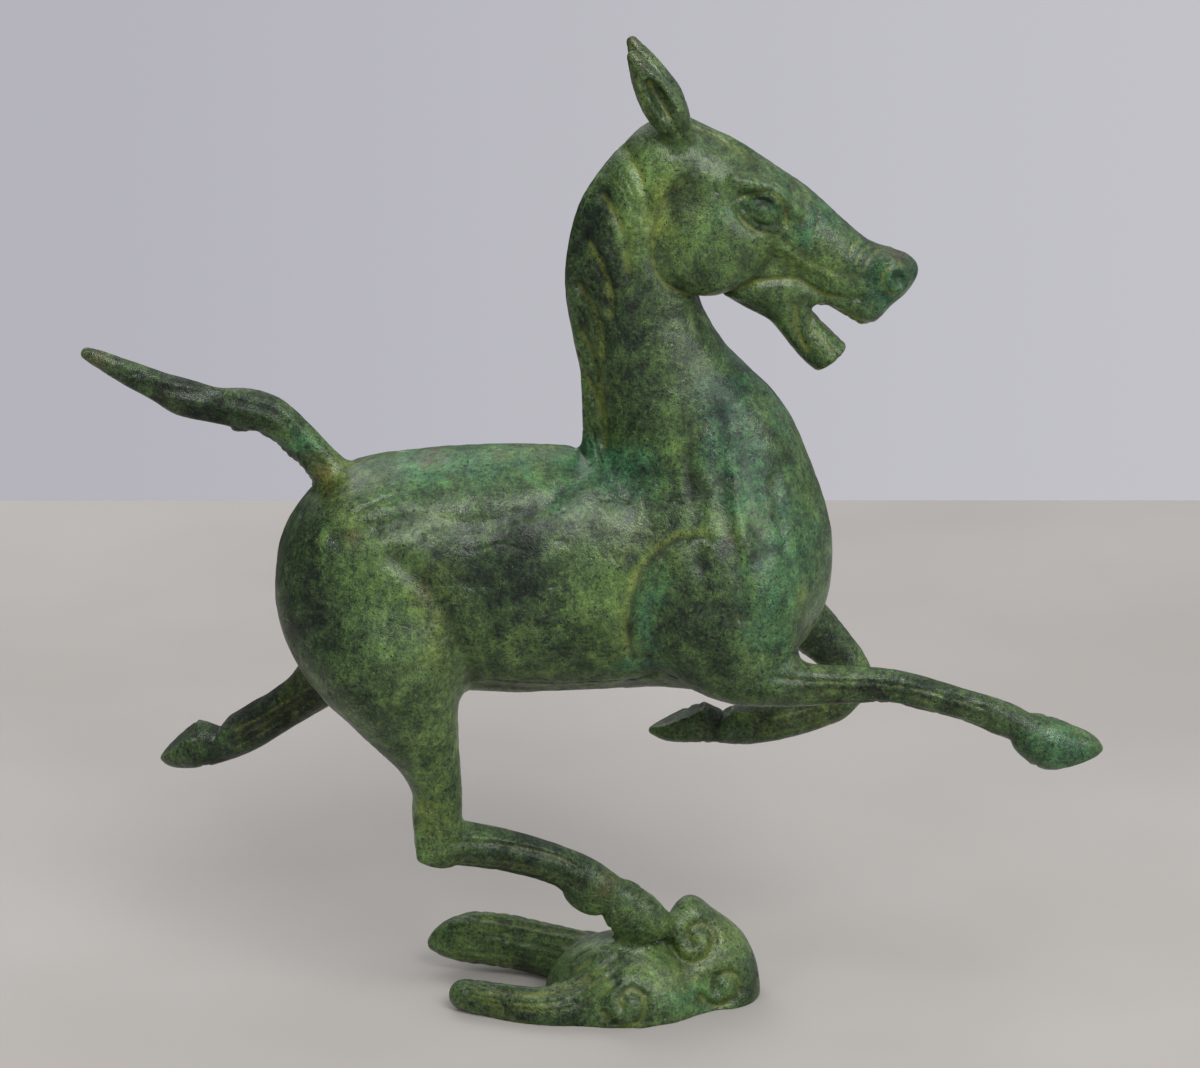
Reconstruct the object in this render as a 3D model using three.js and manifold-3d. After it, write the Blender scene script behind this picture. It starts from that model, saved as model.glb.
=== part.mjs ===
// A small cast-bronze galloping horse on a cloud plinth, in an antique style.
//
// Millimetres, +Z up, +X the way the horse runs, +Y the horse's left. The origin is on the flat
// underside of the plinth, below the planted hoof's supporting cloud.
//
// The casting is one body. It is modelled as a soft blend of round limbs and masses, written as a
// distance field, and the field's surface is then turned into a closed mesh with few faces.
import * as THREE from 'three';
import { mergeVertices } from 'three/addons/utils/BufferGeometryUtils.js';
import Module from 'manifold-3d';

// Driving dimensions
const BACK_HEIGHT = 147; // top of the back above the table
const BARREL_DEPTH = 60; // back to belly
const BARREL_WIDTH = 50;
const PLINTH_LENGTH = 84;
const PLINTH_DEPTH = 50;
const PLINTH_TOP = 26; // lines drawn from above on the plinth stop below this height

const RIGHT = -1; // the horse's right side, towards -Y
const LEFT = 1;

const DEGREE = Math.PI / 180;

// Small vector helpers

const mix = (a, b, t) => a + (b - a) * t;
const clamp01 = (t) => Math.min(1, Math.max(0, t));
const clampTo = (v, most) => Math.min(most, Math.max(-most, v));

/** A soft minimum that rounds the crease between two distances over the radius k. */
function softMin(a, b, k) {
  const h = Math.max(k - Math.abs(a - b), 0) / k;
  return Math.min(a, b) - (h * h * k) / 4;
}

/** A soft maximum, which carves the negative of b out of a. */
const softMax = (a, b, k) => -softMin(-a, -b, k);

/** One value of a Catmull-Rom spline through p1 and p2. */
function spline(p0, p1, p2, p3, t) {
  const a = 2 * p1;
  const b = p2 - p0;
  const c = 2 * p0 - 5 * p1 + 4 * p2 - p3;
  const d = 3 * p1 - p0 - 3 * p2 + p3;
  return (a + b * t + c * t * t + d * t * t * t) / 2;
}

/** Fills in a smooth run of [x, y, z, radius] between the given stations. */
function smoothRun(stations, steps) {
  const run = [];
  const last = stations.length - 1;
  for (let i = 0; i < last; i++) {
    const [p, q, r, s] = [Math.max(i - 1, 0), i, i + 1, Math.min(i + 2, last)].map((at) => stations[at]);
    for (let step = 0; step < steps; step++) {
      run.push([0, 1, 2, 3].map((n) => spline(p[n], q[n], r[n], s[n], step / steps)));
    }
  }
  run.push(stations[last]);
  return run;
}

// Shapes. Each is { distance(x, y, z), low, high }, where the box holds the shape.

/** The box round a run of [x, y, z, radius]. */
function boxOf(run) {
  const low = [0, 1, 2].map((n) => Math.min(...run.map((p) => p[n] - p[3])));
  const high = [0, 1, 2].map((n) => Math.max(...run.map((p) => p[n] + p[3])));
  return { low, high };
}

/** A round limb that follows the stations. flat is its width across the horse over its depth. */
function limb(stations, { flat = 1, steps = 3 } = {}) {
  const run = smoothRun(stations, steps);
  const bars = [];
  for (let i = 0; i + 1 < run.length; i++) {
    const [ax, ay, az, ar] = run[i];
    const [bx, by, bz, br] = run[i + 1];
    const d = [bx - ax, (by - ay) / flat, bz - az];
    bars.push({ ax, ay: ay / flat, az, ar, dr: br - ar, d, l2: d[0] ** 2 + d[1] ** 2 + d[2] ** 2 });
  }
  const distance = (x, y, z) => {
    let least = Infinity;
    for (const { ax, ay, az, ar, dr, d, l2 } of bars) {
      const px = x - ax;
      const py = y / flat - ay;
      const pz = z - az;
      const t = clamp01((px * d[0] + py * d[1] + pz * d[2]) / l2);
      const away = Math.hypot(px - t * d[0], py - t * d[1], pz - t * d[2]) - (ar + dr * t);
      if (away < least) least = away;
    }
    return least;
  };
  return { distance, ...boxOf(run) };
}

/** An ellipsoid turned by pitch about Y: its first radius points along +X, and dips for a positive pitch. */
function mass(centre, radii, pitch = 0) {
  const c = Math.cos(pitch * DEGREE);
  const s = Math.sin(pitch * DEGREE);
  const [rx, ry, rz] = radii;
  const distance = (x, y, z) => {
    const dx = x - centre[0];
    const dz = z - centre[2];
    const u = (dx * c - dz * s) / rx;
    const v = (y - centre[1]) / ry;
    const w = (dx * s + dz * c) / rz;
    const k0 = Math.hypot(u, v, w);
    const k1 = Math.hypot(u / rx, v / ry, w / rz);
    return k1 < 1e-9 ? -Math.min(rx, ry, rz) : (k0 * (k0 - 1)) / k1;
  };
  return { distance, ...boxOf([[...centre, Math.max(rx, ry, rz)]]) };
}

/** A shape kept only on the inner side of the plane through point with that outward normal. */
function cutBy(shape, point, normal, round = 1) {
  const n = new THREE.Vector3(...normal).normalize();
  const offset = n.dot(new THREE.Vector3(...point));
  const distance = (x, y, z) => softMax(shape.distance(x, y, z), n.x * x + n.y * y + n.z * z - offset, round);
  return { ...shape, distance };
}

// The form is a list of steps: blend a shape on, carve one out, or draw a line into the surface.
const form = [];
const blend = (shape, soft) =>
  form.push({ ...shape, reach: soft, apply: (d, part) => softMin(d, part, soft) });
const carve = (shape, soft) =>
  form.push({ ...shape, reach: soft, apply: (d, part) => softMax(d, -part, soft) });

const MIDDLE = 2.5; // nearer than this to the horse's middle plane, lines drawn on a side run out

/**
 * Incises a round-bottomed line. Its points are [x, z] drawn on one side of the horse, or [x, y]
 * drawn from above where `above` is set, which is the height the drawing starts at.
 */
function incise(points, { width = 1, depth = 0.7, side = 0, above = null, steps = 4 } = {}) {
  const fromAbove = above !== null;
  const run = smoothRun(points.map(([a, b]) => (fromAbove ? [a, b, 0, width] : [a, 0, b, width])), steps);
  const line = limb(run, { steps: 1 });
  const low = [...line.low];
  const high = [...line.high];
  if (fromAbove) [low[2], high[2]] = [above, PLINTH_TOP];
  else [low[1], high[1]] = side === LEFT ? [0.5, 40] : [-40, -0.5];
  const fromSide = (x, y, z) => line.distance(x, 0, z) + 1.5 * Math.max(0, MIDDLE - Math.abs(y));
  const distance = fromAbove ? (x, y) => line.distance(x, y, 0) : fromSide;
  const apply = (d, part) => d + depth * Math.exp(-(((part + width) / width) ** 2));
  form.push({ distance, low, high, reach: 2 * width - NEAR, apply });
}

/** The points of an arc about [a, b], from one angle to another in degrees, with a growing radius. */
function arc([a, b], radius, from, to, growth = 0, count = 9) {
  return Array.from({ length: count }, (_, n) => {
    const t = n / (count - 1);
    const angle = mix(from, to, t) * DEGREE;
    const r = radius + growth * t;
    return [a + r * Math.cos(angle), b + r * Math.sin(angle)];
  });
}

const SPARE_BELOW = 3; // what the plinth has below the table before its underside is cut flat
const FAR = 60;
const NEAR = 9; // up to here the distance is a true one, and further out it is only far

/** The distance from the casting's surface, negative inside it. */
function distanceToHorse(x, y, z) {
  let d = FAR;
  for (const { distance, low, high, reach, apply } of form) {
    const pad = reach + NEAR;
    if (x < low[0] - pad || x > high[0] + pad || z < low[2] - pad || z > high[2] + pad) continue;
    if (y < low[1] - pad || y > high[1] + pad) continue;
    d = apply(d, distance(x, y, z));
  }
  return Math.max(d, -SPARE_BELOW - z);
}

// The trunk

function makeTrunk() {
  const r = BARREL_DEPTH / 2;
  const middle = BACK_HEIGHT - r - 0.6;
  const spine = [
    [-55, 0, middle, r - 9.4],
    [-47, 0, middle, r - 2],
    [-24, 0, middle - 0.4, r + 0.8],
    [2, 0, middle - 0.5, r + 0.3],
    [24, 0, middle - 0.4, r - 1.4],
    [34, 0, middle - 1, r - 5.4],
    [38, 0, middle, r - 11],
  ];
  blend(limb(spine, { flat: BARREL_WIDTH / BARREL_DEPTH }), 1);
  blend(mass([31, 0, 119], [23.4, 24.5, 32]), 8); // breast
  for (const side of [RIGHT, LEFT]) {
    blend(mass([-50.2, side * 12.4, 112], [25.4, 14.4, 28], 4), 7); // haunch
    blend(mass([33.5, side * 15.4, 110], [17, 12, 21.8], -8), 6); // shoulder
  }
}

/** Lines that mark the shoulder blade, the flank, the belly and the haunch on each side. */
function inciseTrunk() {
  for (const side of [RIGHT, LEFT]) {
    const line = { side, width: 1.3, depth: 0.9 };
    incise([[28, 131], [20, 129.5], [12.4, 122], [9.6, 111], [10.4, 101]], line); // shoulder blade
    incise([[-60, 130], [-44, 134.5], [-26, 133.6], [-10, 138], [-2, 145]], { ...line, width: 2.2 }); // flank
    incise([[-29, 91.5], [-10, 89.5], [12, 90.5]], { ...line, width: 1.8, depth: 0.6 }); // belly
    incise([[-46, 126], [-37, 117], [-31, 104], [-28.5, 94]], { ...line, width: 2.6, depth: 1.3 }); // haunch
    incise([[27, 141], [25.4, 133], [26.4, 124]], { ...line, width: 2.2, depth: 0.8 }); // breast fold
  }
}

function makeNeck() {
  const spine = [
    [30.8, 0, 129, 25.6],
    [28.2, 0, 143, 23.4],
    [23, 0, 152, 21.4],
    [18, 0, 163, 17.6],
    [12.6, 0, 178, 14.8],
    [11, 0, 194, 14],
    [13.6, 0, 208, 12.4],
    [18, 0, 217, 10],
  ];
  blend(limb(spine, { flat: 0.78, steps: 4 }), 8);
  const crest = [
    [15.6, 0, 224, 1.8],
    [8.2, 0, 217.2, 2.2],
    [0.4, 0, 205, 3.4],
    [-2.6, 0, 188, 3.4],
    [1, 0, 167, 3.6],
    [2.4, 0, 156, 4.4],
    [3.6, 0, 147.6, 5],
  ];
  blend(limb(crest), 3);
}

const MANE_LOCKS = 6;

/** Locks of the mane: strokes that sweep down from the crest across the nape. */
function inciseMane() {
  const root = (t) => [mix(9, -1, t) - 5 * Math.sin(Math.PI * t), mix(221, 166, t)];
  for (const side of [RIGHT, LEFT]) {
    for (let lock = 0; lock < MANE_LOCKS; lock++) {
      const [x, z] = root(lock / (MANE_LOCKS - 1));
      const stroke = [[x - 0.6, z], [x + 2.6, z - 5], [x + 4.4, z - 11], [x + 4.8, z - 17]];
      incise(stroke, { side, width: 1.5, depth: 1, steps: 2 });
    }
  }
}

// The head, laid out along the face: s forward from the poll, t up from the face's axis, y sideways

const POLL = [19, 218.5];
const FACE_PITCH = 32;
const MUZZLE_SLANT = -8;

function inHead(s, y, t) {
  const c = Math.cos(FACE_PITCH * DEGREE);
  const n = Math.sin(FACE_PITCH * DEGREE);
  return [POLL[0] + s * c + t * n, y, POLL[1] - s * n + t * c];
}

/** A direction across the face, given along its own axes. */
function inFace(s, t) {
  const root = inHead(0, 0, 0);
  return inHead(s, 0, t).map((v, n) => v - root[n]);
}

const headMass = (s, y, t, radii, tilt = 0) => mass(inHead(s, y, t), radii, FACE_PITCH + tilt);
const headLimb = (stations, options) =>
  limb(
    stations.map(([s, y, t, r]) => [...inHead(s, y, t), r]),
    options,
  );
const inciseHead = (points, options) =>
  incise(
    points.map(([s, t]) => inHead(s, 0, t)).map(([x, , z]) => [x, z]),
    { width: 1.1, depth: 0.8, ...options },
  );

/** Trims the front of the face to a plane through a point, which faces forward and down by the tilt. */
function trimMuzzle([x, y, z], tilt) {
  const low = [x - 16, y - 12, z - 22];
  const high = [x + 12, y + 12, z + 10];
  const distance = (px, _, pz) => (px - x) * Math.cos(tilt) - (pz - z) * Math.sin(tilt);
  form.push({ distance, low, high, reach: -NEAR, apply: (d, part) => softMax(d, part, 3) });
}

function makeHead() {
  const skull = [
    [3, 0, -1.6, 10],
    [14, 0, -0.6, 11.8],
    [28, 0, 0.6, 10.7],
    [41, 0, 0.6, 8.8],
    [51.5, 0, 1, 7.2],
    [61, 0, 3.2, 6.8],
  ];
  const jaw = [
    [21, 0, -15.4, 6.6],
    [33, 0, -15.4, 6.1],
    [42, 0, -15.7, 5.3],
    [50.5, 0, -18.8, 4.9],
    [55.5, 0, -20.2, 4.9],
    [61, 0, -21.2, 4.8],
  ];
  const lip = headLimb([[46, 0, -5.6, 5.4], [58.5, 0, -4.4, 6.3]], { flat: 0.95, steps: 1 });
  blend(headLimb(skull, { flat: 0.84 }), 4);
  const chin = inHead(59.6, 0, -20.3);
  blend(cutBy(headLimb(jaw, { flat: 0.94 }), chin, inFace(0.95, -0.32), 0.8), 2.5);
  blend(headMass(38, 0, -11, [12, 6, 7]), 3); // flesh behind the corner of the mouth
  blend(lip, 3);
  for (const side of [RIGHT, LEFT]) {
    blend(headMass(18.2, side * 5.4, -11.3, [13.7, 6.6, 14.6]), 2); // round cheek
    carve(headMass(24, side * 12.6, 1.6, [8, 4.6, 5.4], -8), 2); // eye socket
    blend(headMass(24, side * 7.7, 2, [4.6, 3, 3.4], -8), 1); // eye
    const brow = [[15, side * 9, 4.6, 1.5], [23, side * 9.4, 7.4, 2], [32, side * 7.4, 5.4, 1.3]];
    blend(headLimb(brow), 2);
    blend(headMass(59.4, side * 5, 4.6, [5, 2.8, 3.8], 24), 2); // flared nostril
  }
  trimMuzzle(inHead(66, 0, 8), (FACE_PITCH - MUZZLE_SLANT) * DEGREE);
  const mouth = [
    [49.6, 0, -12.7, 1.1],
    [54, 0, -12.7, 2.1],
    [61, 0, -13.6, 2.7],
    [74, 0, -15, 4.4],
  ];
  carve(headLimb(mouth, { flat: 8 }), 1);
  for (const side of [RIGHT, LEFT]) carve(headMass(61.4, side * 8.2, 4.8, [2.9, 2.4, 1.8], 30), 1);
}

function inciseHeadLines() {
  for (const side of [RIGHT, LEFT]) {
    const edge = [[4.6, -2], [3.6, -11], [7.4, -20.5], [16, -25.4], [25.6, -22.4], [32, -14.5]];
    inciseHead(edge, { side, width: 1.2, depth: 1.1 }); // edge of the cheek
    inciseHead([[32, -14.5], [40, -8.6], [49, -8], [56, -4]], { side }); // cheek to lip
    inciseHead([[44, -14], [47.5, -18.6], [53, -22]], { side }); // lower lip
  }
}

/** A leaf-shaped ear that leans back, with a hollow on its outer side. */
function makeEar(side) {
  const lean = -30; // degrees
  const ear = [
    [21, side * 6, 225, 3.2],
    [17.6, side * 8, 231, 4.6],
    [13.6, side * 9.4, 237.6, 3.6],
    [10, side * 10, 244, 1.4],
  ];
  blend(limb(ear, { flat: 0.8 }), 2);
  carve(mass([17, side * 12.4, 233.4], [2.4, 3, 7], lean), 1.5);
}

/** A short forelock that lies on the forehead between the ears. */
function makeForelock() {
  const lock = [
    [-1, 0, 8, 2.4],
    [6, 0, 8.7, 2.5],
    [13, 0, 9.3, 2],
    [20, 0, 9, 1.2],
  ];
  blend(headLimb(lock), 2);
}

// The legs

/**
 * A pointed hoof: it runs from the coronet, where it is wider than the pastern, to the toe. The sole
 * is flat, faces along soleNormal and passes just below the toe.
 */
function makeHoof(coronet, toe, soleNormal, size = 1) {
  const n = new THREE.Vector3(...soleNormal).normalize().toArray();
  const at = (t, drop) => coronet.map((v, i) => mix(v, toe[i], t) + n[i] * drop * size);
  const body = [
    [...at(0, 0), 5.6 * size],
    [...at(0.3, 1.4), 6.5 * size],
    [...at(0.7, 1), 4.9 * size],
    [...at(1, 0), 1.8 * size],
  ];
  blend(cutBy(limb(body, { flat: 0.84, steps: 3 }), at(1, 1.2), n, 0.8), 0.7);
}

const LEG = { flat: 0.86, steps: 4 };

/** The right hind leg carries the horse: thigh down, hock bent, cannon forward to the cloud. */
function makeStandingHindLeg() {
  const side = RIGHT;
  const thigh = [
    [-49.6, side * 17, 98.6, 17.6],
    [-44.4, side * 17.5, 85.6, 12.4],
    [-40.2, side * 17, 75, 8.4],
    [-37.8, side * 16.6, 66, 6.4],
    [-37.4, side * 16, 58, 6],
    [-36.8, side * 14.8, 51, 6],
  ];
  const cannon = [
    [-36.4, side * 14.8, 49.8, 5.8],
    [-31, side * 13.2, 48.6, 5.7],
    [-20, side * 10.8, 45.5, 5.3],
    [-8, side * 7.8, 40.4, 5],
    [-1.4, side * 6.2, 36, 5.6],
    [6, side * 4.8, 31, 4.8],
  ];
  blend(limb(thigh, LEG), 6);
  blend(limb(cannon, LEG), 2);
  const heel = limb([[-38.2, side * 15.6, 58, 5.4], [-38.8, side * 15, 48.8, 7]], { ...LEG, steps: 1 });
  const hock = cutBy(heel, [-42.9, 0, 50], [-0.99, 0, -0.12], 0.8);
  blend(cutBy(hock, [-39, 0, 45], [-0.4, 0, -0.92], 0.8), 1.5);
  blend(mass([-1.2, side * 6, 30.2], [5.8, 2.8, 3], 28), 1.5); // ergot
  makeHoof([8, side * 4.4, 29.2], [18.4, side * 3, 21], [0.1, 0, -1], 1.05);
}

/** The left hind leg is thrown out behind. */
function makeTrailingHindLeg() {
  const side = LEFT;
  const leg = [
    [-52, side * 14, 100, 16.5],
    [-61, side * 17, 88, 10],
    [-69.6, side * 19, 78.4, 6.4],
    [-76.8, side * 20, 72.8, 5.4],
    [-83, side * 20.4, 68.6, 5.5],
    [-89.2, side * 20.6, 64.9, 5.5],
    [-95, side * 20.8, 62.4, 5.3],
  ];
  blend(cutBy(limb(leg, LEG), [-92.2, 0, 69], [-0.84, 0, 0.54], 0.6), 6);
  makeHoof([-97.2, side * 20.8, 61.9], [-108, side * 20.8, 58.6], [-0.68, 0, 0.73], 0.95);
}

/** The right foreleg reaches out in front. */
function makeReachingForeleg() {
  const side = RIGHT;
  const leg = [
    [30, side * 17, 104.6, 11.4],
    [38, side * 18.5, 96.4, 8.4],
    [50, side * 19.6, 93, 5.6],
    [64, side * 20, 92.9, 4.5],
    [73, side * 20.2, 92.5, 4.3],
    [84, side * 20.4, 89.8, 4],
    [94, side * 20.6, 86.7, 4],
    [100, side * 20.8, 84.4, 4.3],
    [104, side * 21, 82.6, 4],
  ];
  blend(limb(leg, LEG), 5);
  makeHoof([107.6, side * 21, 80], [122.8, side * 21, 76.6], [0.32, 0, -0.95], 1);
}

/** The left foreleg is folded back under the breast. */
function makeFoldedForeleg() {
  const side = LEFT;
  const forearm = [
    [38, side * 15.4, 107, 12],
    [50, side * 17.6, 99, 8.2],
    [60, side * 18.4, 90, 5.8],
    [66, side * 18.8, 80.6, 5.3],
    [61, side * 18.8, 73.8, 5],
  ];
  const cannon = [
    [64.6, side * 18.8, 77, 4.8],
    [61, side * 18.8, 73.8, 5],
    [52, side * 18.6, 69.9, 4.8],
    [42, side * 18.2, 68.2, 5],
    [34, side * 18, 68.4, 4.9],
  ];
  blend(limb(forearm, LEG), 5);
  blend(cutBy(limb(cannon, LEG), [36.2, 0, 73.2], [-0.7, 0, 0.71], 0.6), 1);
  makeHoof([30.4, side * 18, 68.4], [16.4, side * 18, 66.9], [-0.42, 0, 0.91], 0.84);
}

/** A groove along the tendons of each leg. */
function inciseLegs() {
  const line = { width: 1.5, depth: 0.8 };
  incise([[-34, 46.8], [-20, 44], [-8, 39.4], [-2, 35.6]], { ...line, side: RIGHT });
  incise([[52, 92.4], [66, 92.2], [80, 90.2], [96, 85.2]], { ...line, side: RIGHT });
  incise([[-62, 85.4], [-72, 76.4], [-82, 69.4], [-90, 64.8]], { ...line, side: LEFT });
  incise([[62.6, 86], [64.6, 78.4], [57, 71.8], [43, 68.2]], { ...line, side: LEFT });
}

function makeTail() {
  const tail = [
    [-56, 0, 132, 6.4],
    [-64.6, 0, 142.4, 4.4],
    [-71, 0, 149.8, 4.2],
    [-76.6, 0, 154.6, 4.7],
    [-82.8, 0, 156.5, 5.1],
    [-90.6, 0, 157.5, 4.3],
    [-98, 0, 159.4, 4.6],
    [-104, 0, 162, 3.7],
    [-111, 0, 165.4, 3],
    [-118, 0, 168.9, 2.2],
    [-121, 0, 170.3, 1.6],
  ];
  blend(limb(tail, { flat: 0.85, steps: 4 }), 3);
  for (const side of [RIGHT, LEFT]) {
    for (const rise of [1.9, -1.7]) {
      const strand = [[-67 - rise, 144], [-74.5, 153 + rise], [-84, 157 + rise], [-99, 159.6 + rise]];
      incise([...strand, [-108, 163.4]], { side, width: 1.2, depth: 0.7 });
    }
  }
}

// The cloud plinth under the planted hoof: a domed billow with curled lobes round it, and wisps
// that trail behind

function makePlinth() {
  const half = PLINTH_LENGTH / 2;
  const wide = PLINTH_DEPTH / 2;
  blend(mass([9, -1, 0], [21, 15.6, 19]), 4);
  blend(mass([half - 12.2, 5, 0], [13.8, 12, 21.4]), 4); // the tall billow in front
  blend(mass([half - 16.4, 3, 9], [8, 9, 18.4]), 5);
  const lobes = [
    [half - 8.6, 2, 8],
    [half - 12, 12.6, 8],
    [14, wide - 9, 9.6],
    [9, 15.4 - wide, 9.6],
  ];
  for (const [x, y, r] of lobes) blend(mass([x, y, 4], [r, r * 0.9, r]), 2);
  const nearWisp = [
    [4, -8.6, 3, 8.4],
    [-12, -10.6, 2.6, 6],
    [-24, -7.4, 3.2, 5.2],
    [10.4 - half, -5.4, 4, 4.2],
  ];
  const farWisp = [
    [2, 11, 5, 8.2],
    [-13, 15.8, 7.4, 7.2],
    [-27, 18.4, 9, 7.4],
    [-35, 18.6, 8.6, 5.4],
    [2 - half, 18.8, 7.6, 2.2],
  ];
  for (const wisp of [nearWisp, farWisp]) blend(limb(wisp, LEG), 3);
}

/** Curls on the lobes, drawn from each side, and combed lines along the wisps, drawn from above. */
function incisePlinth() {
  const half = PLINTH_LENGTH / 2;
  const line = { width: 1.3, depth: 1.2 };
  for (const side of [RIGHT, LEFT]) {
    incise(arc([9.6, 6.4], 1.6, 200, -160, 5, 13), { ...line, side });
    incise(arc([half - 8.4, 6.4], 1.6, 200, -160, 4.4, 13), { ...line, side });
    incise(arc([half - 15.2, 18.6], 1.6, 200, -160, 5, 13), { ...line, side });
  }
  for (const shift of [-2, 2]) {
    const near = [[0, -9.4 + shift], [-12, -10.6 + shift], [-24, -7.4 + shift]];
    const far = [[-2, 13 + shift], [-13, 15.8 + shift], [-28, 18.4 + shift]];
    for (const wisp of [near, far]) incise(wisp, { width: 1.2, depth: 0.9, above: 0 });
  }
}

makeTrunk();
makeNeck();
makeHead();
makeForelock();
makeEar(RIGHT);
makeEar(LEFT);
makeStandingHindLeg();
makeTrailingHindLeg();
makeReachingForeleg();
makeFoldedForeleg();
makeTail();
makePlinth();
inciseTrunk();
inciseMane();
inciseHeadLines();
inciseLegs();
incisePlinth();

// From the field to a mesh: each cell of a grid is split into six tetrahedra, and the surface is
// traced through each one, which always gives a closed mesh.

const CELL = 1.15;
const BLOCK = 5; // cells along each side of the blocks that are looked at first
const LOW = [-129, -36, -5];
const HIGH = [130, 36, 253];

// The two corners passed on each of the six ways along a cell's edges, from its low to its high corner
const WAYS = [
  [[1, 0, 0], [1, 1, 0]],
  [[1, 0, 0], [1, 0, 1]],
  [[0, 1, 0], [1, 1, 0]],
  [[0, 1, 0], [0, 1, 1]],
  [[0, 0, 1], [1, 0, 1]],
  [[0, 0, 1], [0, 1, 1]],
];

// Even orders of a tetrahedron's corners, of which the first one or two are inside
const EVEN_ORDERS = {
  1: [0, 1, 2, 3],
  2: [1, 0, 3, 2],
  4: [2, 0, 1, 3],
  8: [3, 0, 2, 1],
  3: [0, 1, 2, 3],
  5: [0, 2, 3, 1],
  9: [0, 3, 1, 2],
  6: [1, 2, 0, 3],
  10: [1, 3, 2, 0],
  12: [2, 3, 0, 1],
};

function traceSurface(field) {
  const size = LOW.map((low, n) => Math.ceil((HIGH[n] - low) / CELL) + 1);
  const strides = [1, size[0], size[0] * size[1]];
  const value = new Float64Array(size[0] * size[1] * size[2]);
  const fieldAt = (i, j, k) => field(LOW[0] + i * CELL, LOW[1] + j * CELL, LOW[2] + k * CELL) || 1e-9;
  const halfBlock = (BLOCK - 1) / 2;
  for (let k0 = 0; k0 < size[2]; k0 += BLOCK) {
    for (let j0 = 0; j0 < size[1]; j0 += BLOCK) {
      for (let i0 = 0; i0 < size[0]; i0 += BLOCK) {
        const middle = fieldAt(i0 + halfBlock, j0 + halfBlock, k0 + halfBlock);
        const isFar = Math.abs(middle) > NEAR;
        for (let k = k0; k < Math.min(k0 + BLOCK, size[2]); k++) {
          for (let j = j0; j < Math.min(j0 + BLOCK, size[1]); j++) {
            for (let i = i0; i < Math.min(i0 + BLOCK, size[0]); i++) {
              value[i + j * strides[1] + k * strides[2]] = isFar ? middle : fieldAt(i, j, k);
            }
          }
        }
      }
    }
  }
  const place = (corner) => {
    const k = Math.floor(corner / strides[2]);
    const j = Math.floor((corner - k * strides[2]) / strides[1]);
    const i = corner - k * strides[2] - j * strides[1];
    return [LOW[0] + i * CELL, LOW[1] + j * CELL, LOW[2] + k * CELL];
  };
  const positions = [];
  const triangles = [];
  const known = new Map();
  const crossing = (a, b) => {
    const key = Math.min(a, b) * value.length + Math.max(a, b);
    if (!known.has(key)) {
      const t = value[a] / (value[a] - value[b]);
      const pa = place(a);
      const pb = place(b);
      known.set(key, positions.length / 3);
      positions.push(...pa.map((p, n) => mix(p, pb[n], t)));
    }
    return known.get(key);
  };
  const addTriangle = (a, b, c, turned) => triangles.push(...(turned ? [a, c, b] : [a, b, c]));
  const traceTetrahedron = (corners, turned) => {
    let mask = 0;
    corners.forEach((corner, n) => (mask |= value[corner] < 0 ? 1 << n : 0));
    if (mask === 0 || mask === 15) return;
    const mostInside = !(mask in EVEN_ORDERS);
    const order = EVEN_ORDERS[mostInside ? 15 - mask : mask].map((n) => corners[n]);
    const flip = turned !== mostInside;
    const [a, b, c, d] = order;
    if ([3, 5, 9, 6, 10, 12].includes(mask)) {
      addTriangle(crossing(a, c), crossing(a, d), crossing(b, d), flip);
      addTriangle(crossing(a, c), crossing(b, d), crossing(b, c), flip);
    } else {
      addTriangle(crossing(a, b), crossing(a, c), crossing(a, d), flip);
    }
  };
  const offset = (corner) => corner[0] * strides[0] + corner[1] * strides[1] + corner[2] * strides[2];
  const ways = WAYS.map(([p, q]) => {
    const turned = new THREE.Vector3(...p).dot(new THREE.Vector3(...q).cross(new THREE.Vector3(1, 1, 1))) < 0;
    return { p: offset(p), q: offset(q), turned };
  });
  const far = offset([1, 1, 1]);
  for (let k = 0; k + 1 < size[2]; k++) {
    for (let j = 0; j + 1 < size[1]; j++) {
      for (let i = 0; i + 1 < size[0]; i++) {
        const base = offset([i, j, k]);
        for (const { p, q, turned } of ways) traceTetrahedron([base, base + p, base + q, base + far], turned);
      }
    }
  }
  return { positions, triangles };
}

/** Evens out the mesh: each point moves to the middle of its neighbours, and back onto the surface. */
function relax({ positions, triangles }, field, rounds) {
  const step = 0.05;
  const count = positions.length / 3;
  for (let round = 0; round < rounds; round++) {
    const sums = new Float64Array(positions.length);
    const links = new Float64Array(count);
    for (let i = 0; i < triangles.length; i += 3) {
      for (let corner = 0; corner < 3; corner++) {
        const a = triangles[i + corner];
        const b = triangles[i + ((corner + 1) % 3)];
        links[a]++;
        for (let n = 0; n < 3; n++) sums[3 * a + n] += positions[3 * b + n];
      }
    }
    for (let v = 0; v < count; v++) {
      const [x, y, z] = [0, 1, 2].map((n) => mix(positions[3 * v + n], sums[3 * v + n] / links[v], 0.6));
      const d = field(x, y, z);
      const slope = new THREE.Vector3(field(x + step, y, z), field(x, y + step, z), field(x, y, z + step));
      slope.subScalar(d).divideScalar(step);
      const back = clampTo(d, CELL / 2) / Math.max(slope.lengthSq(), 0.5);
      positions[3 * v] = x - back * slope.x;
      positions[3 * v + 1] = y - back * slope.y;
      positions[3 * v + 2] = z - back * slope.z;
    }
  }
  return { positions, triangles };
}

// Fewer faces: edges are removed, cheapest first, by the squared distance from the planes they stood for

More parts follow.
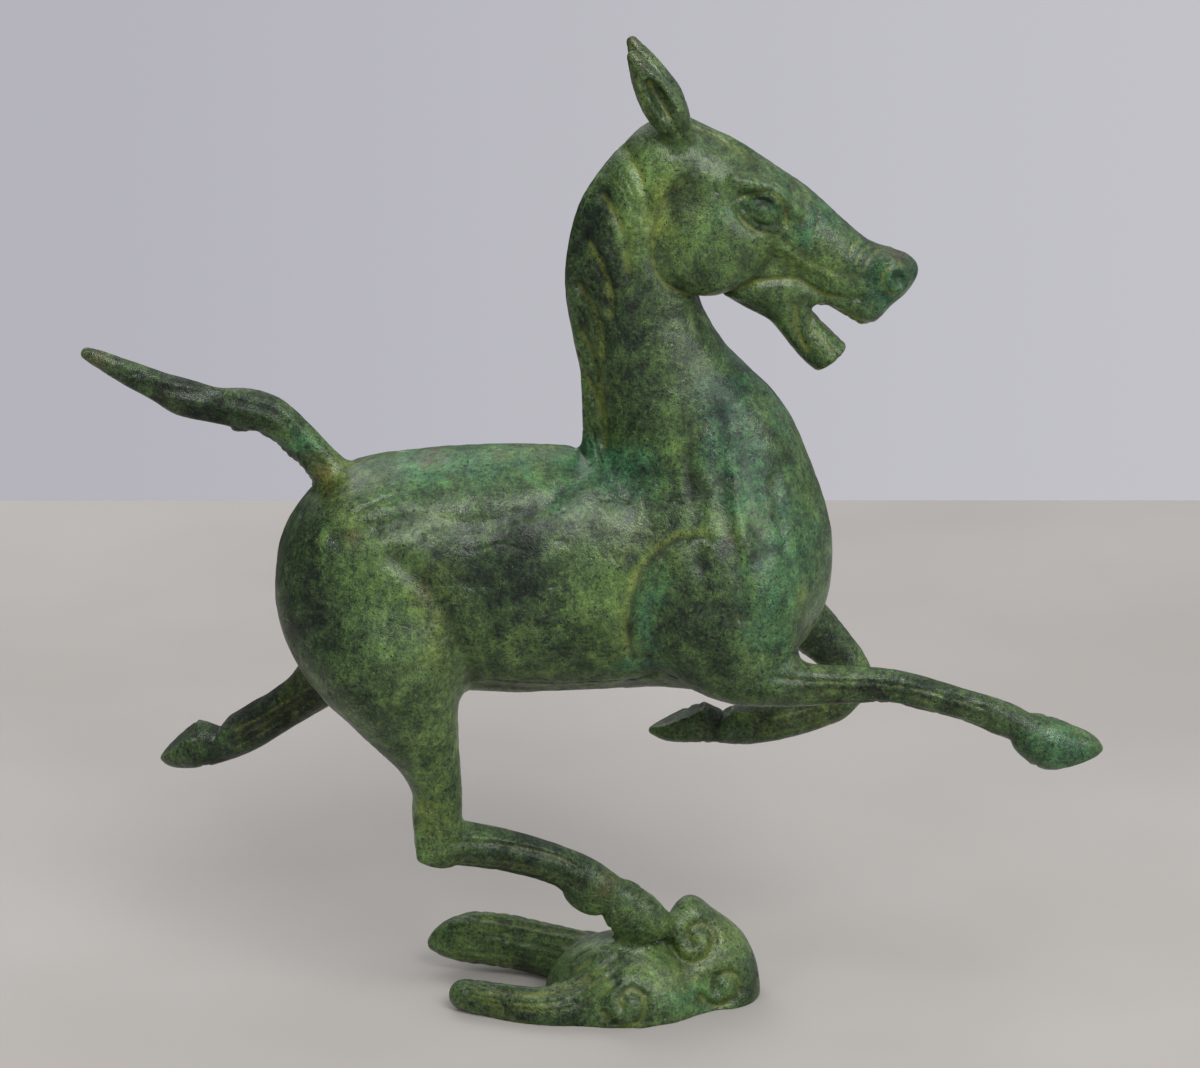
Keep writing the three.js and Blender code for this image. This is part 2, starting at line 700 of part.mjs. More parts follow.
/** A heap of [cost, ...] entries that gives back the cheapest first. */
class Heap {
  entries = [];

  push(entry) {
    const { entries } = this;
    let at = entries.push(entry) - 1;
    while (at > 0) {
      const parent = (at - 1) >> 1;
      if (entries[parent][0] <= entry[0]) break;
      entries[at] = entries[parent];
      at = parent;
    }
    entries[at] = entry;
  }

  pop() {
    const { entries } = this;
    const first = entries[0];
    const entry = entries.pop();
    const count = entries.length;
    if (count === 0) return first;
    let at = 0;
    for (;;) {
      let child = 2 * at + 1;
      if (child >= count) break;
      if (child + 1 < count && entries[child + 1][0] < entries[child][0]) child++;
      if (entries[child][0] >= entry[0]) break;
      entries[at] = entries[child];
      at = child;
    }
    entries[at] = entry;
    return first;
  }
}

/** The ten sums of a plane's squared distance, for the plane n . p + d = 0. */
function planeSums({ x, y, z }, d, weight) {
  const sums = [x * x, x * y, x * z, x * d, y * y, y * z, y * d, z * z, z * d, d * d];
  return sums.map((v) => v * weight);
}

function squaredError(q, { x, y, z }) {
  const inX = q[0] * x + 2 * (q[1] * y + q[2] * z + q[3]);
  const inY = q[4] * y + 2 * (q[5] * z + q[6]);
  return inX * x + inY * y + (q[7] * z + 2 * q[8]) * z + q[9];
}

/** The point with the least error, held a little towards the given middle. */
function bestPoint(q, middle) {
  const hold = 1e-3 * (q[0] + q[4] + q[7]) + 1e-9;
  const m = new THREE.Matrix3();
  m.set(q[0] + hold, q[1], q[2], q[1], q[4] + hold, q[5], q[2], q[5], q[7] + hold);
  const right = middle.clone().multiplyScalar(hold).sub(new THREE.Vector3(q[3], q[6], q[8]));
  return right.applyMatrix3(m.invert());
}

function simplify({ positions, triangles }, target, care) {
  const points = [];
  for (let i = 0; i < positions.length; i += 3) points.push(new THREE.Vector3().fromArray(positions, i));
  const faces = [];
  for (let i = 0; i < triangles.length; i += 3) faces.push(triangles.slice(i, i + 3));
  const sums = points.map(() => new Float64Array(10));
  const around = points.map(() => new Set());
  const version = new Int32Array(points.length);
  const normalOf = ([a, b, c]) => {
    const side = new THREE.Vector3().subVectors(c, a);
    return new THREE.Vector3().subVectors(b, a).cross(side);
  };

  faces.forEach((face, f) => {
    const normal = normalOf(face.map((v) => points[v]));
    const area = normal.length();
    if (area > 0) normal.divideScalar(area);
    const plane = planeSums(normal, -normal.dot(points[face[0]]), area * care(points[face[0]]));
    for (const v of face) {
      around[v].add(f);
      plane.forEach((value, n) => (sums[v][n] += value));
    }
  });

  const neighbours = (v) => {
    const found = new Set();
    for (const f of around[v]) for (const w of faces[f]) if (w !== v) found.add(w);
    return found;
  };
  const heap = new Heap();
  const joint = (a, b) => sums[a].map((value, n) => value + sums[b][n]);
  const pushEdge = (a, b) => {
    const q = joint(a, b);
    const middle = new THREE.Vector3().addVectors(points[a], points[b]).multiplyScalar(0.5);
    const spot = bestPoint(q, middle);
    const cost = Math.max(squaredError(q, spot), 0) + 2e-4 * points[a].distanceToSquared(points[b]);
    heap.push([cost, a, b, version[a], version[b], spot]);
  };
  points.forEach((_, a) => neighbours(a).forEach((b) => a < b && pushEdge(a, b)));

  const turnsOver = (v, other, spot) => {
    for (const f of around[v]) {
      if (faces[f].includes(other)) continue;
      const before = faces[f].map((w) => points[w]);
      const after = faces[f].map((w) => (w === v ? spot : points[w]));
      const was = normalOf(before);
      const is = normalOf(after);
      if (is.length() < 1e-4 || was.dot(is) < 0.25 * was.length() * is.length()) return true;
    }
    return false;
  };

  let left = faces.length;
  while (left > target && heap.entries.length) {
    const [, a, b, versionA, versionB, spot] = heap.pop();
    if (version[a] !== versionA || version[b] !== versionB) continue;
    const nearB = neighbours(b);
    const shared = [...neighbours(a)].filter((v) => nearB.has(v));
    if (shared.length !== 2 || turnsOver(a, b, spot) || turnsOver(b, a, spot)) continue;
    points[a].copy(spot);
    sums[a] = joint(a, b);
    for (const f of [...around[b]]) {
      if (faces[f].includes(a)) {
        for (const v of faces[f]) around[v].delete(f);
        faces[f] = null;
        left--;
      } else {
        faces[f] = faces[f].map((v) => (v === b ? a : v));
        around[a].add(f);
      }
    }
    around[b].clear();
    version[a]++;
    version[b] = -1;
    for (const v of neighbours(a)) pushEdge(a, v);
  }

  const index = new Map();
  const kept = { positions: [], triangles: [] };
  for (const face of faces.filter(Boolean)) {
    for (const v of face) {
      if (!index.has(v)) {
        index.set(v, index.size);
        kept.positions.push(points[v].x, points[v].y, points[v].z);
      }
      kept.triangles.push(index.get(v));
    }
  }
  return kept;
}

// The casting, with its underside cut flat

const FACES = 9400;

/** How much an error counts: most on the head, and more on the mane, legs and plinth than on the body. */
function careOf({ x, z }) {
  if (x > 14 && z > 170) return 6;
  return z < 80 || z > 160 || x < -72 ? 2.5 : 1;
}

const wasm = await Module();
wasm.setup();

const solidOf = ({ positions, triangles }) =>
  new wasm.Manifold(
    new wasm.Mesh({
      numProp: 3,
      vertProperties: new Float32Array(positions),
      triVerts: new Uint32Array(triangles),
    }),
  );

/** A big box that stands on the table. */
function aboveTable() {
  const box = new THREE.BoxGeometry(400, 200, 400).translate(0, 0, 200);
  box.deleteAttribute('normal');
  box.deleteAttribute('uv');
  const merged = mergeVertices(box);
  return solidOf({ positions: merged.attributes.position.array, triangles: merged.index.array });
}

function geometryOf(solid) {
  const { vertProperties, triVerts } = solid.getMesh();
  const geometry = new THREE.BufferGeometry();
  geometry.setAttribute('position', new THREE.BufferAttribute(vertProperties, 3));
  geometry.setIndex(new THREE.BufferAttribute(triVerts, 1));
  geometry.computeVertexNormals();
  return geometry;
}

const bronze = new THREE.MeshStandardMaterial({ color: 0x3f6b43, roughness: 0.45, metalness: 0.35 });

function makeHorse() {
  const fine = relax(traceSurface(distanceToHorse), distanceToHorse, 3);
  const casting = solidOf(simplify(fine, FACES, careOf));
  const horse = new THREE.Mesh(geometryOf(casting.intersect(aboveTable())), bronze);
  horse.name = 'galloping_horse';
  return horse;
}

const part = new THREE.Group();
part.name = 'bronze_horse_sculpture';
part.add(makeHorse());

export default part;
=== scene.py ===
"""The finished looks of a small cast-bronze galloping horse on its cloud plinth.

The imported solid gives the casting's form and place. A copy of it is remeshed finely, and every
point of the copy is moved onto a distance field of the same limbs, masses and lines, to which the
finer lines and the unevenness of a hand-finished casting are added. The field is in millimetres,
+X the way the horse runs, +Y its left and +Z up, as the solid's source is. Blender is in metres.
"""
import math
from collections import namedtuple

import bpy
import numpy as np
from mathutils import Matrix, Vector


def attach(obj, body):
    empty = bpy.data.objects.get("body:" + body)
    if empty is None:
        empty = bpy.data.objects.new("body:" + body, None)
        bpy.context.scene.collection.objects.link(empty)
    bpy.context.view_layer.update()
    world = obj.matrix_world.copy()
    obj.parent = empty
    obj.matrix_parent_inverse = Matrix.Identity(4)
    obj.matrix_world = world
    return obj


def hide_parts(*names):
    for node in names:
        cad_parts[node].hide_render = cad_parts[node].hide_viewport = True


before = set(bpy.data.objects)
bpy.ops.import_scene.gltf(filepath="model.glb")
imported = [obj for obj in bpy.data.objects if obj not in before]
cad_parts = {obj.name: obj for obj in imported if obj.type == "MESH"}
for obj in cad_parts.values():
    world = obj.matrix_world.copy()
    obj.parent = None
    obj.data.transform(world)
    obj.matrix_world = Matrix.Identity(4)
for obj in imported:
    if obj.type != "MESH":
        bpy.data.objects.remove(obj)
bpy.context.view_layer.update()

HORSE = "galloping_horse"
MM = 0.001


# Camera and its view

ELEVATION = math.radians(18)
DISTANCE = 0.9
AIM = Vector((0, 0, 0.12))
SENSOR = 36
FOCAL_PIXELS = 3675.6
IMAGE_WIDTH = 1200
IMAGE_HEIGHT = 1068
VIEW_AXIS = (590, 552.4)  # the pixel that the lens looks straight at


def make_camera():
    data = bpy.data.cameras.new("camera")
    camera = bpy.data.objects.new("camera", data)
    bpy.context.collection.objects.link(camera)
    back = Vector((0, -math.cos(ELEVATION), math.sin(ELEVATION)))
    camera.location = AIM + back * DISTANCE
    camera.rotation_euler = (math.pi / 2 - ELEVATION, 0, 0)
    data.sensor_width = SENSOR
    data.lens = FOCAL_PIXELS / IMAGE_WIDTH * SENSOR
    data.shift_x = (IMAGE_WIDTH / 2 - VIEW_AXIS[0]) / IMAGE_WIDTH
    data.shift_y = (VIEW_AXIS[1] - IMAGE_HEIGHT / 2) / IMAGE_WIDTH
    data.clip_start = 0.05
    data.clip_end = 20
    bpy.context.scene.camera = camera


make_camera()


# Distance fields. A Shape is its distance from arrays x, y and z, and the box that holds it.

BACK_HEIGHT = 147
BARREL_DEPTH = 60
BARREL_WIDTH = 50
PLINTH_LENGTH = 84
PLINTH_DEPTH = 50
PLINTH_TOP = 26  # lines drawn from above on the plinth stop below this height

RIGHT = -1
LEFT = 1
SIDES = (RIGHT, LEFT)

Shape = namedtuple("Shape", "distance low high")
Step = namedtuple("Step", "shape reach apply")
Line = namedtuple("Line", "shape width depth side pigment")

STEPS = []  # the form, in the order in which it is built up
LINES = []  # the grooves, and the ridges, whose depth is negative


def mix(a, b, t):
    return a + (b - a) * t


def soft_min(a, b, soft):
    """The smaller of two distances, with the crease between them rounded over soft."""
    near = np.maximum(soft - np.abs(a - b), 0) / soft
    return np.minimum(a, b) - near * near * soft / 4


def soft_max(a, b, soft):
    return -soft_min(-a, -b, soft)


def smooth_run(stations, steps):
    """A Catmull-Rom run through the stations, each with its radius last."""
    p = np.array(stations, float)
    if len(p) < 2 or steps == 1:
        return p
    before = np.vstack([p[:1], p[:-2]])[:, None]
    start = p[:-1][:, None]
    end = p[1:][:, None]
    after = np.vstack([p[2:], p[-1:]])[:, None]
    t = (np.arange(steps) / steps)[None, :, None]
    bend = 2 * before - 5 * start + 4 * end - after
    twist = 3 * start - before - 3 * end + after
    run = (2 * start + (end - before) * t + bend * t**2 + twist * t**3) / 2
    return np.vstack([run.reshape(-1, p.shape[1]), p[-1:]])


def box_of(run):
    run = np.array(run, float)
    return (run[:, :3] - run[:, 3:]).min(0), (run[:, :3] + run[:, 3:]).max(0)


def limb(stations, flat=1.0, steps=6):
    """A round limb along the stations. flat is its width across the horse over its depth."""
    run = smooth_run(stations, steps)
    squeezed = run / [1, flat, 1, 1]

    def distance(x, y, z):
        y = y / flat
        least = np.full(len(x), np.inf)
        for (ax, ay, az, ar), (bx, by, bz, br) in zip(squeezed[:-1], squeezed[1:]):
            dx, dy, dz = bx - ax, by - ay, bz - az
            px, py, pz = x - ax, y - ay, z - az
            t = (px * dx + py * dy + pz * dz) / (dx * dx + dy * dy + dz * dz)
            np.clip(t, 0, 1, out=t)
            px -= t * dx
            py -= t * dy
            pz -= t * dz
            np.minimum(least, np.sqrt(px * px + py * py + pz * pz) - (ar + (br - ar) * t), out=least)
        return least

    return Shape(distance, *box_of(run))


def mass(centre, radii, pitch=0):
    """An ellipsoid turned about Y, so that its first radius dips for a positive pitch."""
    c, s = math.cos(math.radians(pitch)), math.sin(math.radians(pitch))
    rx, ry, rz = radii

    def distance(x, y, z):
        dx, dz = x - centre[0], z - centre[2]
        u = (dx * c - dz * s) / rx
        v = (y - centre[1]) / ry
        w = (dx * s + dz * c) / rz
        scaled = np.sqrt(u * u + v * v + w * w)
        slope = np.sqrt((u / rx) ** 2 + (v / ry) ** 2 + (w / rz) ** 2)
        return scaled * (scaled - 1) / np.maximum(slope, 1e-9)

    return Shape(distance, *box_of([[*centre, max(radii)]]))


def cut_by(shape, point, normal, soft):
    """The shape, kept on the inner side of a plane."""
    n = np.array(normal, float) / np.linalg.norm(normal)
    offset = n @ np.array(point, float)

    def distance(x, y, z):
        return soft_max(shape.distance(x, y, z), n[0] * x + n[1] * y + n[2] * z - offset, soft)

    return Shape(distance, shape.low, shape.high)


def blend(shape, soft):
    STEPS.append(Step(shape, soft, lambda d, part: soft_min(d, part, soft)))


def carve(shape, soft):
    STEPS.append(Step(shape, soft, lambda d, part: soft_max(d, -part, soft)))


LINE_STEPS = 6  # pieces of a smoothed line between two of its given points


def incise(points, width=1.0, depth=0.7, side=0, above=None, pigment=1.0):
    """A round-bottomed line, [x, z] points on one side of the horse or [x, y] ones from above.

    A negative depth raises a thin ridge. pigment is how much ochre has gathered in the line.
    """
    reach = 2.4 * width
    from_side = above is None
    run = [[a, 0, b, 0] if from_side else [a, b, 0, 0] for a, b in points]
    path = limb(smooth_run(run, LINE_STEPS), steps=1)
    low, high = path.low - reach, path.high + reach
    if from_side:
        low[1], high[1] = (0, 40) if side == LEFT else (-40, 0)
    else:
        low[2], high[2] = above, PLINTH_TOP

    def distance(x, y, z):
        level = np.zeros(len(x))
        return path.distance(x, level, z) if from_side else path.distance(x, y, level)

    LINES.append(Line(Shape(distance, low, high), width, depth, side, pigment))


def stain(points, width, pigment):
    """Earth colour that has gathered along a line, on both sides of the horse."""
    both_sides(points, width, 0, pigment)


def both_sides(points, width, depth, pigment=0.0):
    for side in SIDES:
        incise(points, width, depth, side, pigment=pigment)


def band(point, normal, radius, width, depth, pigment=0.0):
    """A groove, or with a negative depth a ridge, round a limb where a plane crosses it."""
    n = np.array(normal, float) / np.linalg.norm(normal)
    p = np.array(point, float)

    def distance(x, y, z):
        return np.abs(n[0] * (x - p[0]) + n[1] * (y - p[1]) + n[2] * (z - p[2]))

    LINES.append(Line(Shape(distance, p - radius, p + radius), width, depth, 0, pigment))


ARC_POINTS = 13


def arc(centre, radius, start, end, growth=0.0):
    """Points of an arc from one angle to another in degrees, with a growing radius."""
    t = np.linspace(0, 1, ARC_POINTS)
    angle = np.radians(mix(start, end, t))
    r = radius + growth * t
    return np.column_stack([centre[0] + r * np.cos(angle), centre[1] + r * np.sin(angle)])


LATTICE = 48  # cells to each side of the noise, after which it repeats


def lattice_noise(points, size, seed):
    """Smooth noise from -1 to 1, with bumps of about the given size."""
    grid = np.random.default_rng(seed).uniform(-1, 1, (LATTICE, LATTICE, LATTICE))
    q = points / size
    base = np.floor(q).astype(int)
    f = q - base
    f = f * f * (3 - 2 * f)
    total = np.zeros(len(points))
    for corner in np.ndindex(2, 2, 2):
        i, j, k = ((base + corner) % LATTICE).T
        weight = np.prod(np.where(corner, f, 1 - f), axis=1)
        total += weight * grid[i, j, k]
    return total


# The trunk and neck


def make_trunk():
    r = BARREL_DEPTH / 2
    middle = BACK_HEIGHT - r - 0.6
    spine = [
        [-55, 0, middle, r - 9.4], [-47, 0, middle, r - 2],
        [-24, 0, middle - 0.4, r + 0.8], [2, 0, middle - 0.5, r + 0.3],
        [24, 0, middle - 0.4, r - 1.4], [34, 0, middle - 1, r - 5.4],
        [38, 0, middle, r - 11],
    ]
    blend(limb(spine, BARREL_WIDTH / BARREL_DEPTH), 1)
    blend(mass([31, 0, 119], [23.4, 24.5, 32]), 8)  # breast
    for side in SIDES:
        blend(mass([-50.2, side * 12.4, 112], [25.4, 14.4, 28], 4), 7)  # haunch
        blend(mass([33.5, side * 15.4, 110], [17, 12, 21.8], -8), 6)  # shoulder


def incise_trunk():
    blade = [[28, 131], [20, 129.5], [12.4, 122], [9.6, 111], [10.4, 101]]
    both_sides(blade, 1.3, 0.9, 0.3)
    croup = [[-60, 130], [-44, 134.5], [-26, 133.6], [-10, 138], [-2, 145]]
    both_sides(croup, 2.2, 0.9)
    both_sides([[-29, 91.5], [-10, 89.5], [12, 90.5]], 1.8, 0.6, 0.3)
    both_sides([[-46, 126], [-37, 117], [-31, 104], [-28.5, 94]], 2.6, 1.3, 0.1)
    both_sides([[27, 141], [25.4, 133], [26.4, 124]], 2.2, 0.8)


def incise_trunk_finely():
    """Creases and soft folds that are too shallow for the solid."""
    crease = dict(width=0.6, depth=0.35)
    both_sides([[-58, 135.2], [-49.4, 139], [-42, 140]], **crease)
    both_sides([[-26, 93.4], [-8, 91.6], [10, 92.6], [16, 95]], **crease)
    both_sides([[-24, 88.4], [-8, 86.6], [8, 87.4]], 0.7, 0.3, 0.5)
    both_sides([[12.8, 119], [10.8, 111], [11.4, 103]], 0.6, -0.2)
    fold = dict(width=2.4, depth=0.7)
    both_sides([[30.4, 158], [30.6, 146], [32, 136], [35.6, 124], [37, 113]], **fold)
    both_sides([[37, 152], [38.6, 140], [41.6, 128]], **fold)
    both_sides([[44, 143], [45.6, 131], [48, 122]], 1.8, 0.45)
    both_sides([[23, 150], [24.6, 140], [25.6, 134]], 1.6, 0.8)
    both_sides([[34.2, 148], [34.8, 138], [37.4, 128]], 1.6, -0.5)
    both_sides([[17.4, 126], [14.4, 118], [14.6, 106]], 1.6, 0.4)
    stain([[27, 132.6], [19, 131], [11.2, 123], [8.3, 111], [9.2, 101]], 2.6, 0.6)
    stain([[51, 116], [51, 106], [50, 98]], 4, 0.5)
    both_sides([[-36, 101], [-33, 96], [-32, 90]], 1, 0.3, 0.4)
    scratches = [
        [[13.8, 148.6], [15.8, 144.8], [16.2, 142.4]],
        [[2.6, 144.4], [5.2, 139.6], [9, 137.8]],
        [[5, 127.6], [6.7, 124.6]],
        [[45, 140], [45.4, 134], [43.4, 131.4]],
        [[-44, 128], [-40, 122.6], [-38.6, 119]],
        [[-27, 128], [-21, 129.6], [-15, 128]],
    ]
    for scratch in scratches:
        both_sides(scratch, 0.4, 0.3)
    carve(mass([-38, -4, 147.4], [3.4, 1.8, 1.2]), 0.8)  # a casting pit on the back


def make_neck():
    spine = [
        [30.8, 0, 129, 25.6], [28.2, 0, 143, 23.4],
        [23, 0, 152, 21.4], [18, 0, 163, 17.6],
        [12.6, 0, 178, 14.8], [11, 0, 194, 14],
        [13.6, 0, 208, 12.4], [18, 0, 217, 10],
    ]
    blend(limb(spine, 0.78), 8)
    crest = [
        [15.6, 0, 224, 1.8], [8.2, 0, 217.2, 2.2],
        [0.4, 0, 205, 3.4], [-2.6, 0, 188, 3.4],
        [1, 0, 167, 3.6], [2.4, 0, 156, 4.4],
        [3.6, 0, 147.6, 5],
    ]
    blend(limb(crest), 3)


MANE_LOCKS = 6
HAIRS_IN_A_LOCK = 3


def mane_root(t):
    return mix(9, -1, t) - 5 * math.sin(math.pi * t), mix(221, 166, t)


def incise_mane():
    """Locks that sweep down from the crest, with finer hairs between them."""
    for side in SIDES:
        for lock in range(MANE_LOCKS):
            x, z = mane_root(lock / (MANE_LOCKS - 1))
            stroke = [[x - 0.6, z], [x + 2.6, z - 5], [x + 4.4, z - 11], [x + 4.8, z - 17]]
            incise(stroke, 1.5, 1, side, pigment=0.8)
            for hair in range(1, HAIRS_IN_A_LOCK + 1):
                drop = 11 * hair / (HAIRS_IN_A_LOCK + 1)
                a, b = x - 0.2 - drop * 0.12, z - drop
                fine = [[a, b], [a + 2.4, b - 4.6], [a + 4, b - 10], [a + 4.3, b - 15]]
                incise(fine, 0.55, 0.4, side, pigment=0.3)
    both_sides([[6.6, 197.5], [12, 197.2], [17.2, 198.2]], 0.6, 0.35)


# The head, laid out along the face: s forward from the poll, t up from the face's axis, y sideways

POLL = (19, 218.5)
FACE_PITCH = 32
MUZZLE_SLANT = -8
EYE = (24, 2)


def in_head(s, y, t):
    c, n = math.cos(math.radians(FACE_PITCH)), math.sin(math.radians(FACE_PITCH))
    return [POLL[0] + s * c + t * n, y, POLL[1] - s * n + t * c]


def in_face(s, t):
    """A direction across the face, given along its own axes."""
    tip, root = in_head(s, 0, t), in_head(0, 0, 0)
    return [a - b for a, b in zip(tip, root)]


def head_mass(s, y, t, radii, tilt=0):
    return mass(in_head(s, y, t), radii, FACE_PITCH + tilt)


def head_limb(stations, flat=1.0, steps=6):
    return limb([[*in_head(s, y, t), r] for s, y, t, r in stations], flat, steps)


def head_line(points, width=1.1, depth=0.8, pigment=1.0):
    places = [in_head(s, 0, t) for s, t in points]
    both_sides([[x, z] for x, _, z in places], width, depth, pigment)


def trim_muzzle(point, tilt):
    """Trims the front of the face to a plane that faces forward and down by the tilt."""
    x, y, z = point
    low, high = np.array([x - 16, y - 12, z - 22]), np.array([x + 12, y + 12, z + 10])

    def distance(px, py, pz):
        return (px - x) * math.cos(tilt) - (pz - z) * math.sin(tilt)

    STEPS.append(Step(Shape(distance, low, high), 0, lambda d, part: soft_max(d, part, 3)))


def make_head():
    skull = [
        [3, 0, -1.6, 10], [14, 0, -0.6, 11.8],
        [28, 0, 0.6, 10.7], [41, 0, 0.6, 8.8],
        [51.5, 0, 1, 7.2], [61, 0, 3.2, 6.8],
    ]
    jaw = [
        [21, 0, -15.4, 6.6], [33, 0, -15.4, 6.1],
        [42, 0, -15.7, 5.3], [50.5, 0, -18.8, 4.9],
        [55.5, 0, -20.2, 4.9], [61, 0, -21.2, 4.8],
    ]
    blend(head_limb(skull, 0.84), 4)
    blend(cut_by(head_limb(jaw, 0.94), in_head(59.6, 0, -20.3), in_face(0.95, -0.32), 0.8), 2.5)
    blend(head_mass(38, 0, -11, [12, 6, 7]), 3)  # flesh behind the corner of the mouth
    blend(head_limb([[46, 0, -5.6, 5.4], [58.5, 0, -4.4, 6.3]], 0.95, 1), 3)  # upper lip
    for side in SIDES:
        blend(head_mass(18.2, side * 5.4, -11.3, [13.7, 6.6, 14.6]), 2)  # round cheek
        carve(head_mass(24, side * 12.6, 1.6, [8, 4.6, 5.4], -8), 2)  # eye socket
        blend(head_mass(24, side * 7.7, 2, [4.6, 3, 3.4], -8), 1)  # eye
        brow = [[15, side * 9, 4.6, 1.5], [23, side * 9.4, 7.4, 2], [32, side * 7.4, 5.4, 1.3]]
        blend(head_limb(brow), 2)
        blend(head_mass(59.4, side * 5, 4.6, [5, 2.8, 3.8], 24), 2)  # flared nostril
    trim_muzzle(in_head(66, 0, 8), math.radians(FACE_PITCH - MUZZLE_SLANT))
    mouth = [
        [49.6, 0, -12.7, 1.1], [54, 0, -12.7, 2.1],
        [61, 0, -13.6, 2.7], [74, 0, -15, 4.4],
    ]
    carve(head_limb(mouth, 8), 1)
    for side in SIDES:
        carve(head_mass(61.4, side * 8.2, 4.8, [2.9, 2.4, 1.8], 30), 1)


def incise_head():
    edge = [[4.6, -2], [3.6, -11], [7.4, -20.5], [16, -25.4], [25.6, -22.4], [32, -14.5]]
    head_line(edge, 1.2, 1.1)  # edge of the cheek
    head_line([[32, -14.5], [40, -8.6], [49, -8], [56, -4]])  # cheek to lip
    head_line([[44, -14], [47.5, -18.6], [53, -22]])  # lower lip


def incise_head_finely():
    s, t = EYE
    head_line(arc((s, t), 1.5, 0, 360), 0.4, 0.35, 0.7)  # iris
    lid = dict(width=0.6, pigment=0)
    upper = [[s - 6, t - 1.6], [s - 3, t + 2.6], [s + 0.6, t + 3.8], [s + 4, t + 2.2], [s + 7, t - 1.4]]
    lower = [[s - 6, t - 1.6], [s - 2.6, t - 3.2], [s + 1.4, t - 3.6], [s + 7, t - 1.4]]
    head_line(upper, depth=-0.45, **lid)
    head_line(lower, depth=-0.4, **lid)
    head_line([[a, b + 1.3] for a, b in upper], 0.5, 0.4, 0.9)
    head_line([[a, b - 1.2] for a, b in lower], 0.5, 0.35, 0.9)
    for fold in range(3):  # folds over the brow
        a = 27 + 4.2 * fold
        head_line([[a, 10.4 - fold], [a + 1.8, 8.2 - fold], [a + 2.6, 5.4 - fold]], 0.55, 0.4, 0.5)
    for fold in range(3):  # folds behind the nostril
        a = 53.6 - 2.6 * fold
        head_line([[a, 7.6 - 0.4 * fold], [a - 1, 5], [a - 0.6, 2.4 + 0.5 * fold]], 0.5, 0.4, 0.8)
    head_line([[33, -1.6], [41, -2.4], [49, -1.2], [54, 0.4]], 0.8, 0.4, 0.5)
    head_line([[33, -3], [41, -3.9], [48, -3.2]], 0.8, -0.3, 0)
    head_line([[50, -10.8], [56, -9], [63, -8.6]], 0.6, 0.5, 0.9)  # lips' edges
    head_line([[50, -16.4], [54, -17.4], [58, -19]], 0.5, 0.4, 0.7)
    head_line([[50.6, -9.6], [48.6, -12.4], [49.6, -15.4]], 0.6, 0.5, 0.9)
    head_line([[24, -25.4], [33, -20.4], [43, -19.4]], 0.7, 0.35, 0.2)
    head_line([[8, -8], [9.4, -15], [15, -20.6], [23, -19]], 1.6, -0.25, 0)
    ring = arc((60.8, 4.8), 3.5, 60, 300, 0.4)
    head_line(ring, 0.5, 0.35, 0.8)  # edge of the nostril
    for row in (-1, 1):  # front teeth, seen in the open mouth
        for tooth in range(3):
            a = 56.6 + 2.2 * tooth
            head_line([[a, -13 + row * 3.4], [a + 0.2, -13 + row * 2]], 0.35, 0.35, 0.4)


def make_ear(side):
    ear = [
        [21, side * 6, 225, 3.2], [17.6, side * 8, 231, 4.6],
        [13.6, side * 9.4, 237.6, 3.6], [10, side * 10, 244, 1.4],
    ]
    blend(limb(ear, 0.8), 2)
    carve(mass([17, side * 12.4, 233.4], [2.4, 3, 7], -30), 1.5)
    incise([[20.6, 225.6], [17.4, 231.6], [13.6, 238.4]], 0.6, 0.45, side, pigment=1)
    incise([[21.6, 229], [19, 234], [14.8, 239.8], [11.6, 242.6]], 0.6, -0.35, side, pigment=0)
    incise([[15.6, 227.6], [13.6, 232], [11.4, 238]], 0.6, 0.3, side, pigment=0.6)


def make_forelock():
    lock = [
        [-1, 0, 8, 2.4], [6, 0, 8.7, 2.5],
        [13, 0, 9.3, 2], [20, 0, 9, 1.2],
    ]
    blend(head_limb(lock), 2)
    for rise in (0, 1.3):
        head_line([[0, 9 + rise], [7, 10 + rise], [14, 9.8 + rise], [19, 8.8]], 0.5, 0.4, 0.6)


# The legs


def make_hoof(coronet, toe, sole_normal, size):
    """A pointed hoof from coronet to toe, with a flat sole, a raised coronet band and fine rings."""
    n = np.array(sole_normal, float) / np.linalg.norm(sole_normal)
    coronet, toe = np.array(coronet, float), np.array(toe, float)

    def at(t, drop):
        return mix(coronet, toe, t) + n * drop * size

    body = [
        [*at(0, 0), 5.6 * size], [*at(0.3, 1.4), 6.5 * size],
        [*at(0.7, 1), 4.9 * size], [*at(1, 0), 1.8 * size],
    ]
    blend(cut_by(limb(body, 0.84), at(1, 1.2), n, 0.6), 0.7)
    along = toe - coronet
    band(at(0.06, 0), along, 7.5 * size, 0.8, -0.15)
    band(at(0.15, 0), along, 7.5 * size, 0.5, 0.25, 0.4)
    for ring in (0.36, 0.56):
        band(at(ring, 0), along, 7.5 * size, 0.6, 0.06)


LEG_FLATNESS = 0.86
TENDON = dict(width=1.5, depth=0.8, pigment=0.4)
FINE_TENDON = dict(width=0.7, depth=0.4, pigment=0.5)


def leg_limb(stations, side):
    """A part of a leg on one side, from stations given for the left one."""
    return limb([[x, side * y, z, r] for x, y, z, r in stations], LEG_FLATNESS)


